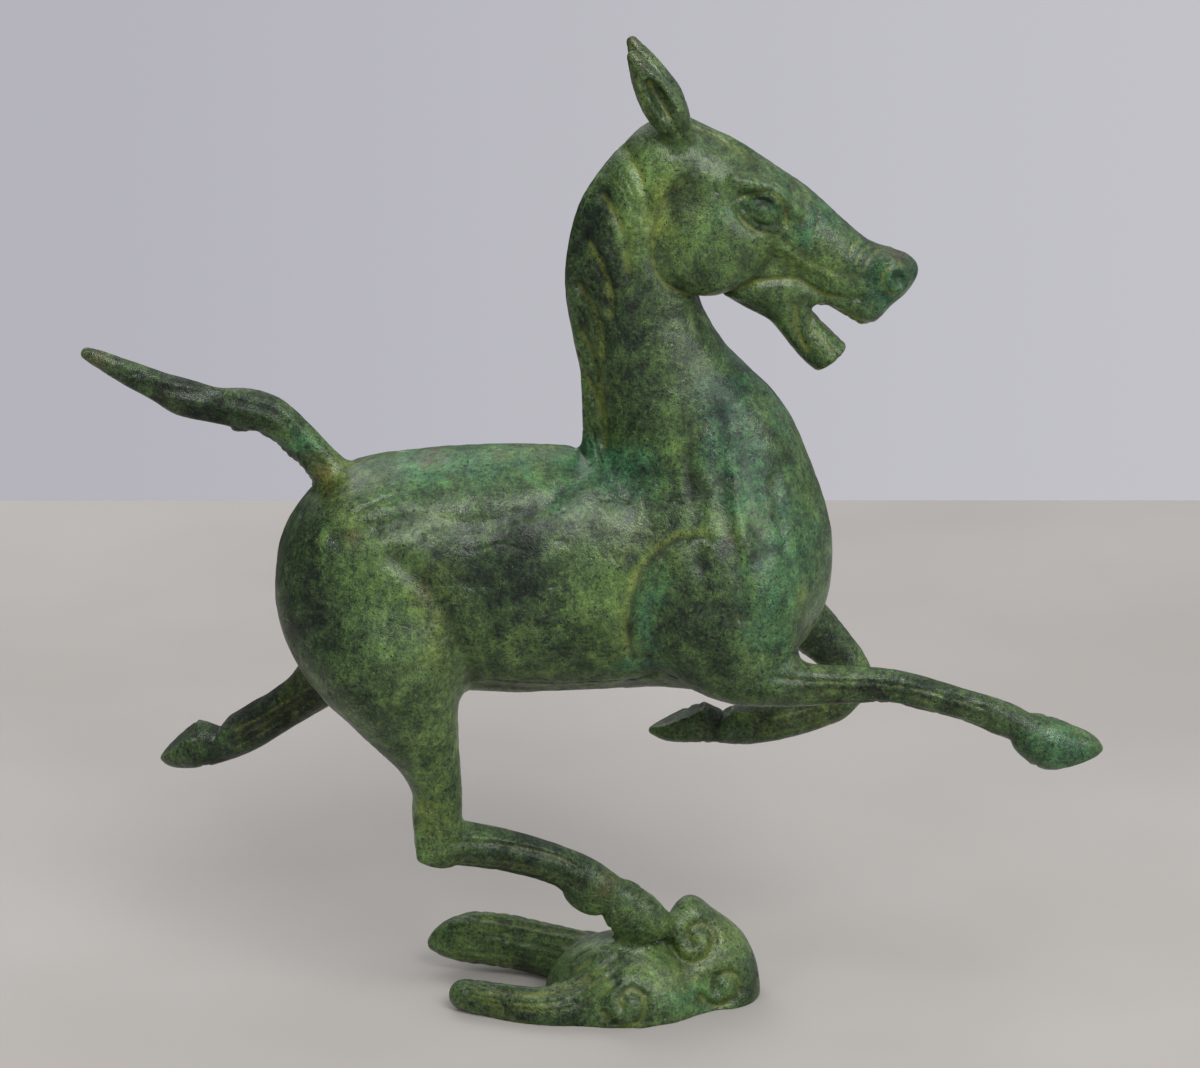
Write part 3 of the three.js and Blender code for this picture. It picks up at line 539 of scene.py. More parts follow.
def make_standing_hind_leg():
    side = RIGHT
    thigh = [
        [-49.6, 17, 98.6, 17.6], [-44.4, 17.5, 85.6, 12.4],
        [-40.2, 17, 75, 8.4], [-37.8, 16.6, 66, 6.4],
        [-37.4, 16, 58, 6], [-36.8, 14.8, 51, 6],
    ]
    cannon = [
        [-36.4, 14.8, 49.8, 5.8], [-31, 13.2, 48.6, 5.7],
        [-20, 10.8, 45.5, 5.3], [-8, 7.8, 40.4, 5],
        [-1.4, 6.2, 36, 5.6], [6, 4.8, 31, 4.8],
    ]
    blend(leg_limb(thigh, side), 6)
    blend(leg_limb(cannon, side), 2)
    hock = limb([[-38.2, side * 15.6, 58, 5.4], [-38.8, side * 15, 48.8, 7]], LEG_FLATNESS, 1)
    hock = cut_by(hock, [-42.9, 0, 50], [-0.99, 0, -0.12], 0.8)
    blend(cut_by(hock, [-39, 0, 45], [-0.4, 0, -0.92], 0.8), 1.5)
    blend(mass([-1.2, side * 6, 30.2], [5.8, 2.8, 3], 28), 1.5)  # ergot
    make_hoof([8, side * 4.4, 29.2], [18.4, side * 3, 21], [0.1, 0, -1], 1.05)


def make_trailing_hind_leg():
    side = LEFT
    leg = [
        [-52, 14, 100, 16.5], [-61, 17, 88, 10],
        [-69.6, 19, 78.4, 6.4], [-76.8, 20, 72.8, 5.4],
        [-83, 20.4, 68.6, 5.5], [-89.2, 20.6, 64.9, 5.5],
        [-95, 20.8, 62.4, 5.3],
    ]
    blend(cut_by(leg_limb(leg, side), [-92.2, 0, 69], [-0.84, 0, 0.54], 0.6), 6)
    make_hoof([-97.2, side * 20.8, 61.9], [-108, side * 20.8, 58.6], [-0.68, 0, 0.73], 0.95)


def make_reaching_foreleg():
    side = RIGHT
    leg = [
        [30, 17, 104.6, 11.4], [38, 18.5, 96.4, 8.4],
        [50, 19.6, 93, 5.6], [64, 20, 92.9, 4.5],
        [73, 20.2, 92.5, 4.3], [84, 20.4, 89.8, 4],
        [94, 20.6, 86.7, 4], [100, 20.8, 84.4, 4.3],
        [104, 21, 82.6, 4],
    ]
    blend(leg_limb(leg, side), 5)
    make_hoof([107.6, side * 21, 80], [122.8, side * 21, 76.6], [0.32, 0, -0.95], 1)


def make_folded_foreleg():
    side = LEFT
    forearm = [
        [38, 15.4, 107, 12], [50, 17.6, 99, 8.2],
        [60, 18.4, 90, 5.8], [66, 18.8, 80.6, 5.3],
        [61, 18.8, 73.8, 5],
    ]
    cannon = [
        [64.6, 18.8, 77, 4.8], [61, 18.8, 73.8, 5],
        [52, 18.6, 69.9, 4.8], [42, 18.2, 68.2, 5],
        [34, 18, 68.4, 4.9],
    ]
    blend(leg_limb(forearm, side), 5)
    blend(cut_by(leg_limb(cannon, side), [36.2, 0, 73.2], [-0.7, 0, 0.71], 0.6), 1)
    make_hoof([30.4, side * 18, 68.4], [16.4, side * 18, 66.9], [-0.42, 0, 0.91], 0.84)


def incise_legs():
    """Grooves along the tendons. The far face of each leg has the same ones."""
    standing = [[-34, 46.8], [-20, 44], [-8, 39.4], [-2, 35.6]]
    reaching = [[52, 92.4], [66, 92.2], [80, 90.2], [96, 85.2]]
    trailing = [[-62, 85.4], [-72, 76.4], [-82, 69.4], [-90, 64.8]]
    folded = [[62.6, 86], [64.6, 78.4], [57, 71.8], [43, 68.2]]
    for leg, side in ((standing, RIGHT), (reaching, RIGHT), (trailing, LEFT), (folded, LEFT)):
        incise(leg, side=side, **TENDON)
        for rise in (-1.8, 4.6) if leg is standing else (-2.3, 2.3):
            incise([[x, z + rise] for x, z in leg], side=side, **FINE_TENDON)
    incise([[x, z + 5.8] for x, z in standing], 0.6, -0.25, RIGHT, pigment=0)
    incise([[-41, 66], [-40.4, 58], [-40, 52.6]], side=RIGHT, **FINE_TENDON)
    incise([[-36, 64], [-34.6, 57], [-33, 52.4]], 0.8, -0.3, RIGHT, pigment=0)
    incise([[44, 96.4], [52, 95], [62, 94.4]], side=RIGHT, **FINE_TENDON)
    incise([[68, 93.4], [70.4, 91.6], [69.4, 89]], 0.6, 0.35, RIGHT, pigment=0.2)
    incise([[61.6, 84], [65.4, 82.4], [68.6, 82.8]], 0.6, 0.35, LEFT, pigment=0.2)


TAIL_STRANDS = 5


def make_tail():
    tail = [
        [-56, 0, 132, 6.4], [-64.6, 0, 142.4, 4.4],
        [-71, 0, 149.8, 4.2], [-76.6, 0, 154.6, 4.7],
        [-82.8, 0, 156.5, 5.1], [-90.6, 0, 157.5, 4.3],
        [-98, 0, 159.4, 4.6], [-104, 0, 162, 3.7],
        [-111, 0, 165.4, 3], [-118, 0, 168.9, 2.2],
        [-121, 0, 170.3, 1.6],
    ]
    blend(limb(tail, 0.85), 3)
    for side in SIDES:
        for rise in (1.9, -1.7):
            strand = [[-67 - rise, 144], [-74.5, 153 + rise], [-84, 157 + rise], [-99, 159.6 + rise]]
            incise([*strand, [-108, 163.4]], 1.2, 0.7, side, pigment=0.3)
        for strand in range(TAIL_STRANDS):
            rise = mix(-3.2, 3.2, strand / (TAIL_STRANDS - 1))
            hair = [[-69 - rise, 146.5], [-75 + rise * 0.3, 153 + rise], [-84, 157 + rise]]
            hair += [[-94, 158.4 + rise * 0.8], [-104, 161.8 + rise * 0.5], [-114, 167 + rise * 0.2]]
            incise(hair, 0.5, 0.28, side, pigment=0.1)
    seam = smooth_run([[-66.4, 138], [-71.4, 144.2], [-76.4, 149], [-80.4, 151.2], [-86, 151.8]], 4)
    for burr, (x, z) in enumerate(seam):  # what is left of the casting seam, under the tail
        size = 0.75 + 0.3 * math.cos(5 * burr)
        blend(mass([x, 0.4 * math.sin(7 * burr), z], [size, 0.5, size]), 0.8)


# The cloud plinth

COMBED_LINES = 5


def make_plinth():
    half, wide = PLINTH_LENGTH / 2, PLINTH_DEPTH / 2
    blend(mass([9, -1, 0], [21, 15.6, 19]), 4)
    blend(mass([half - 12.2, 5, 0], [13.8, 12, 21.4]), 4)  # the tall billow in front
    blend(mass([half - 16.4, 3, 9], [8, 9, 18.4]), 5)
    lobes = [
        [half - 8.6, 2, 8], [half - 12, 12.6, 8],
        [14, wide - 9, 9.6], [9, 15.4 - wide, 9.6],
    ]
    for x, y, r in lobes:
        blend(mass([x, y, 4], [r, r * 0.9, r]), 2)
    near_wisp = [
        [4, -8.6, 3, 8.4], [-12, -10.6, 2.6, 6],
        [-24, -7.4, 3.2, 5.2], [10.4 - half, -5.4, 4, 4.2],
    ]
    far_wisp = [
        [2, 11, 5, 8.2], [-13, 15.8, 7.4, 7.2],
        [-27, 18.4, 9, 7.4], [-35, 18.6, 8.6, 5.4],
        [2 - half, 18.8, 7.6, 2.2],
    ]
    for wisp in (near_wisp, far_wisp):
        blend(limb(wisp, LEG_FLATNESS), 3)


def incise_plinth():
    half = PLINTH_LENGTH / 2
    curls = [((9.6, 6.4), 1.6, 5), ((half - 8.4, 6.4), 1.6, 4.4), ((half - 15.2, 18.6), 1.6, 5)]
    for centre, radius, growth in curls:
        both_sides(arc(centre, radius, 200, -160, growth), 1.3, 1.2, 0.9)
        both_sides(arc(centre, radius + 1.3, 160, -150, growth), 0.5, 0.35, 0.3)
    near = [[0, -9.4], [-12, -10.6], [-24, -7.4]]
    far = [[-2, 13], [-13, 15.8], [-28, 18.4]]
    for wisp in (near, far):
        for shift in (-2, 2):
            incise([[x, y + shift] for x, y in wisp], 1.2, 0.9, above=0, pigment=0.8)
        for comb in range(COMBED_LINES):
            shift = mix(-4.4, 4.4, comb / (COMBED_LINES - 1))
            tail = [wisp[-1][0] - 6, wisp[-1][1] + 1.5 - shift * 0.2]
            combed = [[x, y + shift] for x, y in wisp] + [[tail[0], tail[1] + shift * 0.5]]
            incise(combed, 0.5, 0.4, above=0, pigment=0.4)
    for comb in range(COMBED_LINES):
        rise = mix(-3.6, 5.2, comb / (COMBED_LINES - 1))
        swept = [[-4, 6 + rise], [-13, 7.4 + rise], [-27, 9 + rise], [-36, 8.6 + rise * 0.8]]
        incise(swept, 0.6, 0.45, LEFT, pigment=0.5)
    for x in (-21, -24.4):  # bands across the far wisp
        incise([[x + 1, 16], [x, 9], [x + 0.6, 2]], 0.6, 0.4, LEFT, pigment=0.5)
        incise([[x + 1, 9], [x, 17], [x + 1, 25]], 0.6, 0.4, above=0, pigment=0.5)
    for x in (-3, -5.6, -8.2, -10.8):  # short strokes where it leaves the dome
        incise([[x, 12], [x - 2, 16.4], [x - 5.4, 20]], 0.5, 0.35, above=0, pigment=0.5)
    for rise in (0, 2.2, 4.4):  # lines that sweep from the near wisp up over the dome
        sweep = [[-31, 4.6 + rise * 0.4], [-16, 3.8 + rise * 0.7], [-4, 5.4 + rise], [7, 11.5 + rise]]
        incise(sweep, 0.6, 0.5, RIGHT, pigment=0.6)


make_trunk()
make_neck()
make_head()
make_forelock()
for ear_side in SIDES:
    make_ear(ear_side)
make_standing_hind_leg()
make_trailing_hind_leg()
make_reaching_foreleg()
make_folded_foreleg()
make_tail()
make_plinth()
incise_trunk()
incise_mane()
incise_head()
incise_legs()
incise_plinth()
incise_trunk_finely()
incise_head_finely()


FAR = 60.0  # what the distance is where no shape is near
MARGIN = 3  # how far beyond a shape's box its distance is still worked out


def inside_box(points, shape, pad):
    return np.flatnonzero(np.all((points > shape.low - pad) & (points < shape.high + pad), axis=1))


def distance_to_form(points):
    """Distance from the blended shapes, without their lines."""
    d = np.full(len(points), FAR)
    for step in STEPS:
        at = inside_box(points, step.shape, step.reach + MARGIN)
        if len(at):
            x, y, z = points[at].T.copy()
            d[at] = step.apply(d[at], step.shape.distance(x, y, z))
    return d


MIDDLE = 1.5  # nearer than this to the middle plane, a line drawn on one side runs out
PAINTED_SHARE = 0.55  # of a line's half-width is filled with earth colour
PAINTED_LEAST = 0.5  # and at least this much, in millimetres
CREASE_SHARE = 0.6  # of a line's half-width is darkened with painted shade


def lines_at(points):
    """How deep the lines are at each point, how much earth they hold and how much painted shade.

    Wide folds and lines that are full of earth get no painted shade in their creases.
    """
    cut, raised, pigment, crease = (np.zeros(len(points)) for _ in range(4))
    for line in LINES:
        at = inside_box(points, line.shape, 0)
        if len(at) == 0:
            continue
        x, y, z = points[at].T.copy()
        away = line.shape.distance(x, y, z) / line.width
        off_middle = np.clip(line.side * y / MIDDLE, 0, 1) if line.side else 1
        profile = np.exp(-(away**2)) * off_middle
        if line.depth < 0:
            raised[at] = np.maximum(raised[at], -line.depth * profile)
            continue
        cut[at] = np.maximum(cut[at], line.depth * profile)
        painted_width = max(PAINTED_SHARE * line.width, PAINTED_LEAST)
        painted = np.exp(-((away * line.width / painted_width) ** 2))
        pigment[at] = np.maximum(pigment[at], painted * off_middle * line.pigment)
        # Painted shade in the crease, darkest in narrow, deep lines with little earth in them
        narrow = min(1, max(0, 1.6 / line.width - 0.4))
        shaded = min(1, line.depth) * narrow * (1 - 0.7 * line.pigment)
        dark = np.exp(-((away / CREASE_SHARE) ** 2))
        crease[at] = np.maximum(crease[at], dark * off_middle * shaded)
    return cut - raised, pigment, crease


def unevenness(points):
    """How far the hand-finished casting stands off its ideal form."""
    swell = 0.16 * lattice_noise(points, 9, 1)
    dents = 0.09 * lattice_noise(points, 3.6, 2)
    grain = 0.05 * lattice_noise(points, 1.5, 3)
    pits = np.clip(lattice_noise(points, 2.1, 4) - 0.62, 0, 1) * -1.1
    return swell + dents + grain + pits


# From the solid to a fine mesh

VOXEL = 0.5  # of the first remesh
TRIANGLES = 194000  # that the finished mesh has
FLAT_RIM = 0.35  # how far the rim of the flat underside is rounded
OVERSHOOT_GUARD = 0.85  # of the measured distance is moved in one round


def applied(obj, kind, **settings):
    """The object's mesh with one modifier applied, as a new mesh."""
    modifier = obj.modifiers.new(kind.lower(), kind)
    for name, value in settings.items():
        setattr(modifier, name, value)
    graph = bpy.context.evaluated_depsgraph_get()
    mesh = bpy.data.meshes.new_from_object(obj.evaluated_get(graph))
    obj.modifiers.remove(modifier)
    return mesh


def read(items, name, columns, kind=np.int32):
    flat = np.empty(len(items) * columns, kind)
    items.foreach_get(name, flat)
    return flat.reshape(-1, columns)


def read_points(mesh):
    return read(mesh.vertices, "co", 3, np.float32).astype(float) / MM


def write_points(mesh, points):
    mesh.vertices.foreach_set("co", (points * MM).astype(np.float32).ravel())
    mesh.update()


def read_edges(mesh):
    return read(mesh.edges, "vertices", 2)


def read_triangles(mesh):
    mesh.calc_loop_triangles()
    return read(mesh.loop_triangles, "vertices", 3)


def normals_of(points, triangles):
    a, b, c = (points[triangles[:, n]] for n in range(3))
    face = np.cross(b - a, c - a)
    total = np.zeros_like(points)
    for n in range(3):
        for axis in range(3):
            total[:, axis] += np.bincount(triangles[:, n], face[:, axis], len(points))
    return total / np.maximum(np.linalg.norm(total, axis=1, keepdims=True), 1e-12)


def neighbour_mean(values, edges):
    """The mean of each point's neighbours, for values of one or more columns."""
    values = values.reshape(len(values), -1)
    count = np.bincount(edges.ravel(), minlength=len(values))
    total = np.empty_like(values)
    for n in range(values.shape[1]):
        column = np.bincount(edges[:, 0], values[edges[:, 1], n], len(values))
        total[:, n] = column + np.bincount(edges[:, 1], values[edges[:, 0], n], len(values))
    return total / np.maximum(count, 1)[:, None]


def onto_form(points, triangles, rounds, most=0.6):
    """Moves the points along their normals onto the form, with the underside kept flat."""
    for _ in range(rounds):
        d = distance_to_form(points) + lines_at(points)[0] - unevenness(points)
        d = soft_max(d, -points[:, 2], FLAT_RIM)
        step = np.clip(OVERSHOOT_GUARD * d, -most, most)
        points = points - normals_of(points, triangles) * step[:, None]
    return points


def even_out(points, edges, triangles):
    """Slides the points along the surface towards the middle of their neighbours."""
    shift = 0.5 * (neighbour_mean(points, edges) - points)
    n = normals_of(points, triangles)
    return points + shift - n * np.sum(shift * n, axis=1, keepdims=True)


def fine_mesh(node):
    rough = bpy.data.objects.new("rough", node.data.copy())
    bpy.context.collection.objects.link(rough)
    rough.data = applied(rough, "REMESH", mode="VOXEL", voxel_size=VOXEL * MM)
    points = read_points(rough.data)
    edges, triangles = read_edges(rough.data), read_triangles(rough.data)
    points = onto_form(points, triangles, 3)
    for _ in range(2):
        points = onto_form(even_out(points, edges, triangles), triangles, 1)
    write_points(rough.data, points)
    mesh = applied(rough, "DECIMATE", ratio=min(1, TRIANGLES / len(triangles)))
    bpy.data.objects.remove(rough)
    points = onto_form(read_points(mesh), read_triangles(mesh), 1, 0.1)
    points[:, 2] = np.maximum(points[:, 2], 0)
    write_points(mesh, points)
    return mesh


# What the patina follows, kept on the mesh's points as numbers from 0 to 2. The zones are the
# broad areas of the patina as they lie on the sides of the horse. Some pale zones are also
# painted highlight, and some dark zones painted shade.

ZONES = {  # name: rows of middle x and z, radii along x and z, and strength
    "pale": [
        (-47, 113, 10, 16, 0.7),  # haunch
        (-36, 90, 8, 14, 0.6),
        (-37, 60, 5, 12, 0.5),  # hock
        (4, 117, 9, 13, 1.1),  # belly, behind the shoulder
        (14, 209, 7, 9, 1.8),  # neck, behind the cheek, mostly painted highlight
        (22, 203, 6, 5, 0.6),
        (49, 194, 8, 5, 1.1),  # flesh over the jaw
        (30, 204, 8, 8, 0.6),  # cheek, partly painted highlight
        (48, 115, 10, 22, 0.5),  # chest
        # the ridge of the chest, partly painted highlight
        (37, 137, 5, 12, 0.7),
        (-36, 147, 30, 5, 1.0),  # top of the back, partly painted light from above
        (27, 12, 13, 12, 0.9),  # dome of the plinth
        (114, 79, 8, 5, 0.5), (-72, 148, 5, 5, 0.6),
    ],
    "dark": [
        (-72, 118, 8, 24, 1.4),  # rump, partly painted shade on the side away from the light
        (-57, 98, 8, 12, 0.7),
        (-20, 124, 13, 11, 1.5),  # flank
        (-8, 106, 13, 8, 0.5),
        (25, 108, 10, 17, 0.95),  # shoulder
        (31, 124, 5, 8, 0.6),
        (9, 174, 10, 16, 0.75),  # neck
        (34, 158, 4, 14, 0.7),
        (1, 198, 5, 18, 1.4),  # mane
        (-95, 159, 18, 7, 2.0),  # tail
        (-16, 43, 17, 6, 1.6),  # planted cannon
        (-84, 68, 22, 14, 1.6),  # trailing leg
        (70, 92, 20, 5, 1.1),  # reaching leg
        (46, 72, 26, 9, 0.8),  # folded leg
        (-10, 3, 24, 3, 0.8),  # foot of the plinth
        (42, 8, 3, 9, 0.8),
        (-4, 90, 26, 3, 0.3),  # under the belly, painted shade
    ],
    "teal": [
        (46, 124, 12, 26, 0.8), (36, 154, 9, 16, 1.1),
        (2, 145, 12, 7, 1.2), (-34, 146, 24, 6, 0.8),
        (52, 207, 20, 7, 0.6), (74, 190, 10, 12, 0.9),
        (114, 78, 12, 7, 1.0), (-70, 148, 6, 5, 0.9),
        (14, 111, 3, 12, 1.0),  # inner edge of the shoulder
        (10, 98, 9, 3, 0.8), (26, 6, 16, 5, 0.5),
    ],
    "olive": [
        (-38, 112, 7, 14, 0.8), (12, 128, 8, 8, 0.6),
        (21, 206, 7, 8, 1.0), (-4, 88, 22, 5, 0.7),
        (54, 98, 8, 12, 0.7), (-62, 140, 8, 6, 0.8),
        (5, 180, 7, 20, 0.3), (-75, 76, 16, 12, 0.9),
        (50, 74, 24, 10, 0.8), (-36, 60, 6, 14, 0.6),
        (24, 14, 14, 10, 0.7), (48, 196, 8, 5, 0.6),
    ],
    "ochre": [
        (-39.4, 116, 2.4, 9, 0.7), (-64, 140, 3, 3, 0.8),
        (5, 36, 3, 3, 1.0), (16, 131, 4, 2, 0.6),
        (51, 106, 2, 9, 0.7), (9.5, 108, 1.4, 8, 0.5),
    ],
    "bare": [
        (76, 196, 5, 2, 1.0),  # muzzle
        (-38, 145.8, 3, 1.2, 1.0),  # the pit on the back
        (33, 131, 1.2, 1.2, 0.4), (-119, 170, 4, 3, 0.6),
        (-56, 131, 2, 2, 0.6), (10, 244, 3, 4, 0.5),
    ],
}


def zone_strength(points, zones):
    """How far inside the zones each point lies, with edges that wander."""
    wander_x, wander_z = (4.5 * lattice_noise(points, 10, seed) for seed in (11, 13))
    strength = np.zeros(len(points))
    for x, z, radius_x, radius_z, most in zones:
        loose = min(1, (radius_x + radius_z) / 16)
        u = (points[:, 0] + loose * wander_x - x) / radius_x
        w = (points[:, 2] + loose * wander_z - z) / radius_z
        strength = np.maximum(strength, most * np.exp(-0.8 * (u * u + w * w)))
    return strength


def curvature(points, triangles, edges, rounds):
    """Positive where the surface bulges and negative in hollows, over a few neighbours."""
    smoothed = points
    for _ in range(rounds):
        smoothed = neighbour_mean(smoothed, edges)
    return np.sum((points - smoothed) * normals_of(points, triangles), axis=1)


def keep(mesh, name, values):
    attribute = mesh.attributes.new(name, "FLOAT", "POINT")
    attribute.data.foreach_set("value", np.clip(values, 0, 2).astype(np.float32))


def note_patina(mesh):
    points = read_points(mesh)
    triangles, edges = read_triangles(mesh), read_edges(mesh)
    _, pigment, crease = lines_at(points)
    sharp = curvature(points, triangles, edges, 6)
    keep(mesh, "pigment", pigment)
    keep(mesh, "crease", crease)
    keep(mesh, "worn", np.minimum(sharp / 0.22 - 0.25, 1))
    keep(mesh, "hollow", np.minimum(-sharp / 0.16, 1))
    for name, zones in ZONES.items():
        keep(mesh, name, zone_strength(points, zones))


# Materials


class Nodes:
    """A short way to write node trees."""

    def __init__(self, tree):
        self.tree = tree
        tree.nodes.clear()

    def add(self, kind, inputs=None, **settings):
        node = self.tree.nodes.new(kind)
        for name, value in settings.items():
            setattr(node, name, value)
        for key, value in (inputs or {}).items():
            self.feed(node.inputs[key], value)
        return node

    def feed(self, socket, value):
        if isinstance(value, bpy.types.NodeSocket):
            self.tree.links.new(value, socket)
        else:
            socket.default_value = value

    def attribute(self, name):
        return self.add("ShaderNodeAttribute", attribute_name=name).outputs["Fac"]

    def noise(self, place, size, detail, roughness, distortion):
        """Noise with spots of about size millimetres. place is in millimetres."""
        inputs = {"Vector": place, "Scale": 1 / size, "Detail": detail}
        inputs.update({"Roughness": roughness, "Distortion": distortion})
        return self.add("ShaderNodeTexNoise", inputs).outputs["Fac"]

    def math(self, operation, *values, clamp=False):
        node = self.add("ShaderNodeMath", dict(enumerate(values)), operation=operation, use_clamp=clamp)
        return node.outputs[0]

    def plus(self, total, value, amount, clamp=False):
        return self.math("MULTIPLY_ADD", value, amount, total, clamp=clamp)

    def times(self, *values):
        product = values[0]
        for value in values[1:]:
            product = self.math("MULTIPLY", product, value)
        return product

    def vary(self, total, noise, amount):
        """total, with the noise added so that it mostly stays within amount of it."""
        return self.plus(total, self.math("SUBTRACT", noise, 0.5), 5 * amount)

    def ramp(self, value, low, high):
        """The value, eased so that low to high becomes 0 to 1."""
        inputs = {"Value": value, "From Min": low, "From Max": high}
        return self.add("ShaderNodeMapRange", inputs, interpolation_type="SMOOTHSTEP").outputs[0]

    def thin_lines(self, noise, width):
        """1 along the wandering lines where the noise crosses its middle value, 0 off them."""
        off_line = self.math("ABSOLUTE", self.math("SUBTRACT", noise, 0.5))
        return self.math("SUBTRACT", 1.0, self.ramp(off_line, 0.0, width))

    def scale(self, colour, by):
        return self.add("ShaderNodeVectorMath", {0: colour, 1: by}, operation="MULTIPLY").outputs[0]

    def tint(self, factor, below, above):
        """The colour below, covered by the colour above as far as the factor says."""
        node = self.add("ShaderNodeMix", data_type="RGBA")
        for index, value in ((0, factor), (6, below), (7, above)):
            self.feed(node.inputs[index], (*value, 1) if isinstance(value, tuple) else value)
        return node.outputs[2]


# The greens from the darkest to the palest, each with the lightness at which it is reached
GREENS = [
    (0.0, (0.0045, 0.0085, 0.0060)),
    (0.2, (0.0120, 0.0250, 0.0110)),
    (0.4, (0.0320, 0.0640, 0.0190)),
    (0.6, (0.0720, 0.1300, 0.0340)),
    (0.8, (0.1250, 0.2150, 0.0480)),
    (1.0, (0.2200, 0.3300, 0.0950)),
]
# What the greens are multiplied by where they turn to verdigris or to olive
TO_VERDIGRIS = (0.6, 1.06, 1.55)
TO_OLIVE = (1.25, 1.03, 0.75)
YELLOW_EARTH = (0.220, 0.270, 0.045)
ORANGE_EARTH = (0.200, 0.125, 0.022)
RUST = (0.110, 0.030, 0.014)
BARE_METAL = (0.110, 0.050, 0.034)
# Near-black umber, for painted shade in the creases and to darken the hollows
UMBER_AND_SHADE = (0.016, 0.017, 0.009)
BUMP_DEPTH = 0.0003


def make_patina():
    material = bpy.data.materials.new("green_patina")
    material.use_nodes = True
    n = Nodes(material.node_tree)
    metres = n.add("ShaderNodeTexCoord").outputs["Object"]
    place = n.add("ShaderNodeVectorMath", {0: metres, "Scale": 1000.0}, operation="SCALE").outputs[0]
    upright = n.add("ShaderNodeMapping", {"Vector": place, "Scale": (1.0, 1.0, 0.3)}).outputs[0]
    level = n.add("ShaderNodeMapping", {"Vector": place, "Scale": (0.22, 0.22, 1.0)}).outputs[0]

    # Mottling, with as much contrast in its finest grain as in its widest spots
    mottle = n.noise(place, 4.5, 5, 0.96, 0)
    blotch = n.noise(place, 8, 4, 0.6, 0.8)
    cloud = n.noise(place, 20, 3, 0.6, 0.6)
    stipple = n.noise(place, 0.8, 3, 0.85, 0)
    streak = n.noise(upright, 2.6, 3, 0.6, 0.4)

    # Pale and dark zones: in places painted highlight and painted shade in the green
    dark = n.attribute("dark")
    light = n.plus(0.5, n.attribute("pale"), 0.2)
    light = n.plus(light, dark, -0.2)
    for noise, amount in ((cloud, 0.08), (blotch, 0.15), (streak, 0.1), (mottle, 0.3), (stipple, 0.16)):
        light = n.vary(light, noise, amount)

    # File marks, dark veins and cracks, and dark scabs, mostly in the dark areas
    file_marks = n.times(n.ramp(n.noise(level, 0.75, 2, 0.6, 0), 0.56, 0.72), n.attribute("teal"))
    light = n.plus(light, file_marks, -0.1)
    veins = n.thin_lines(n.noise(place, 6, 5, 0.62, 1.2), 0.022)
    light = n.plus(light, n.times(veins, n.ramp(blotch, 0.42, 0.58)), -0.2)
    cracks = n.thin_lines(n.noise(place, 2.4, 4, 0.6, 1.0), 0.03)
    light = n.plus(light, cracks, -0.1)
    scab = n.ramp(n.noise(place, 3.4, 5, 0.72, 0.4), 0.53, 0.6)
    scab = n.times(scab, n.ramp(n.vary(dark, cloud, 0.5), -0.3, 1.1))
    light = n.plus(light, scab, -0.24)

    colour = GREENS[0][1]
    for (below, _), (at, green) in zip(GREENS, GREENS[1:]):
        colour = n.tint(n.ramp(light, below, at), colour, green)

    # Verdigris and olive turn the hue in their own areas, and drift a little everywhere
    drift = n.noise(place, 9, 5, 0.75, 1.0)
    teal = n.ramp(n.vary(n.attribute("teal"), drift, 0.45), 0.15, 0.95)
    colour = n.tint(teal, colour, n.scale(colour, TO_VERDIGRIS))
    drift = n.noise(place, 7, 5, 0.75, 0.8)
    olive = n.ramp(n.vary(n.attribute("olive"), drift, 0.45), 0.2, 1.0)
    colour = n.tint(olive, colour, n.scale(colour, TO_OLIVE))

    # Earth colours along the lines and in a few soft patches, and painted shade in the lines' creases
    earth = n.tint(n.ramp(n.vary(n.attribute("ochre"), blotch, 0.12), 0.15, 0.8), YELLOW_EARTH, ORANGE_EARTH)
    earth = n.tint(n.times(n.ramp(stipple, 0.62, 0.4), 0.5), earth, n.scale(earth, (0.5, 0.55, 0.5)))
    broken = n.ramp(n.vary(blotch, stipple, 0.14), 0.3, 0.62)
    along = n.times(n.ramp(n.attribute("pigment"), 0.12, 0.85), broken, 0.85)
    patch = n.times(n.attribute("ochre"), n.ramp(n.vary(blotch, stipple, 0.2), 0.3, 0.75), 0.6)
    colour = n.tint(n.math("MAXIMUM", along, patch), colour, earth)
    # Painted shade: the crease attribute darkens narrow, deep lines towards near-black
    crease = n.times(n.ramp(n.attribute("crease"), 0.3, 1.0), n.ramp(stipple, 0.25, 0.6), 0.75)
    colour = n.tint(crease, colour, UMBER_AND_SHADE)

    # Darker speckle in the hollows, bare metal in a few worn places, dark and pale specks
    # Where the surface curves in, the colour is darkened in speckles towards near-black
    hollow_darkening = n.times(n.attribute("hollow"), n.ramp(stipple, 0.3, 0.6), 0.5)
    colour = n.tint(hollow_darkening, colour, UMBER_AND_SHADE)
    rubbed = n.times(n.attribute("worn"), n.ramp(stipple, 0.4, 0.65), 0.3)
    colour = n.tint(rubbed, colour, GREENS[4][1])
    bare = n.times(n.attribute("bare"), n.ramp(n.vary(blotch, stipple, 0.3), 0.35, 0.6), 0.85)
    colour = n.tint(bare, colour, BARE_METAL)
    fleck = n.ramp(n.noise(place, 2.2, 2, 0.5, 1.2), 0.79, 0.82)
    colour = n.tint(n.times(fleck, 0.5), colour, RUST)
    speck = n.ramp(n.noise(place, 0.85, 2, 0.55, 0), 0.62, 0.68)
    colour = n.tint(n.times(speck, 0.85), colour, GREENS[0][1])
    spark = n.ramp(n.noise(place, 0.6, 1, 0.5, 0), 0.75, 0.8)
    colour = n.tint(n.times(spark, 0.6), colour, GREENS[5][1])

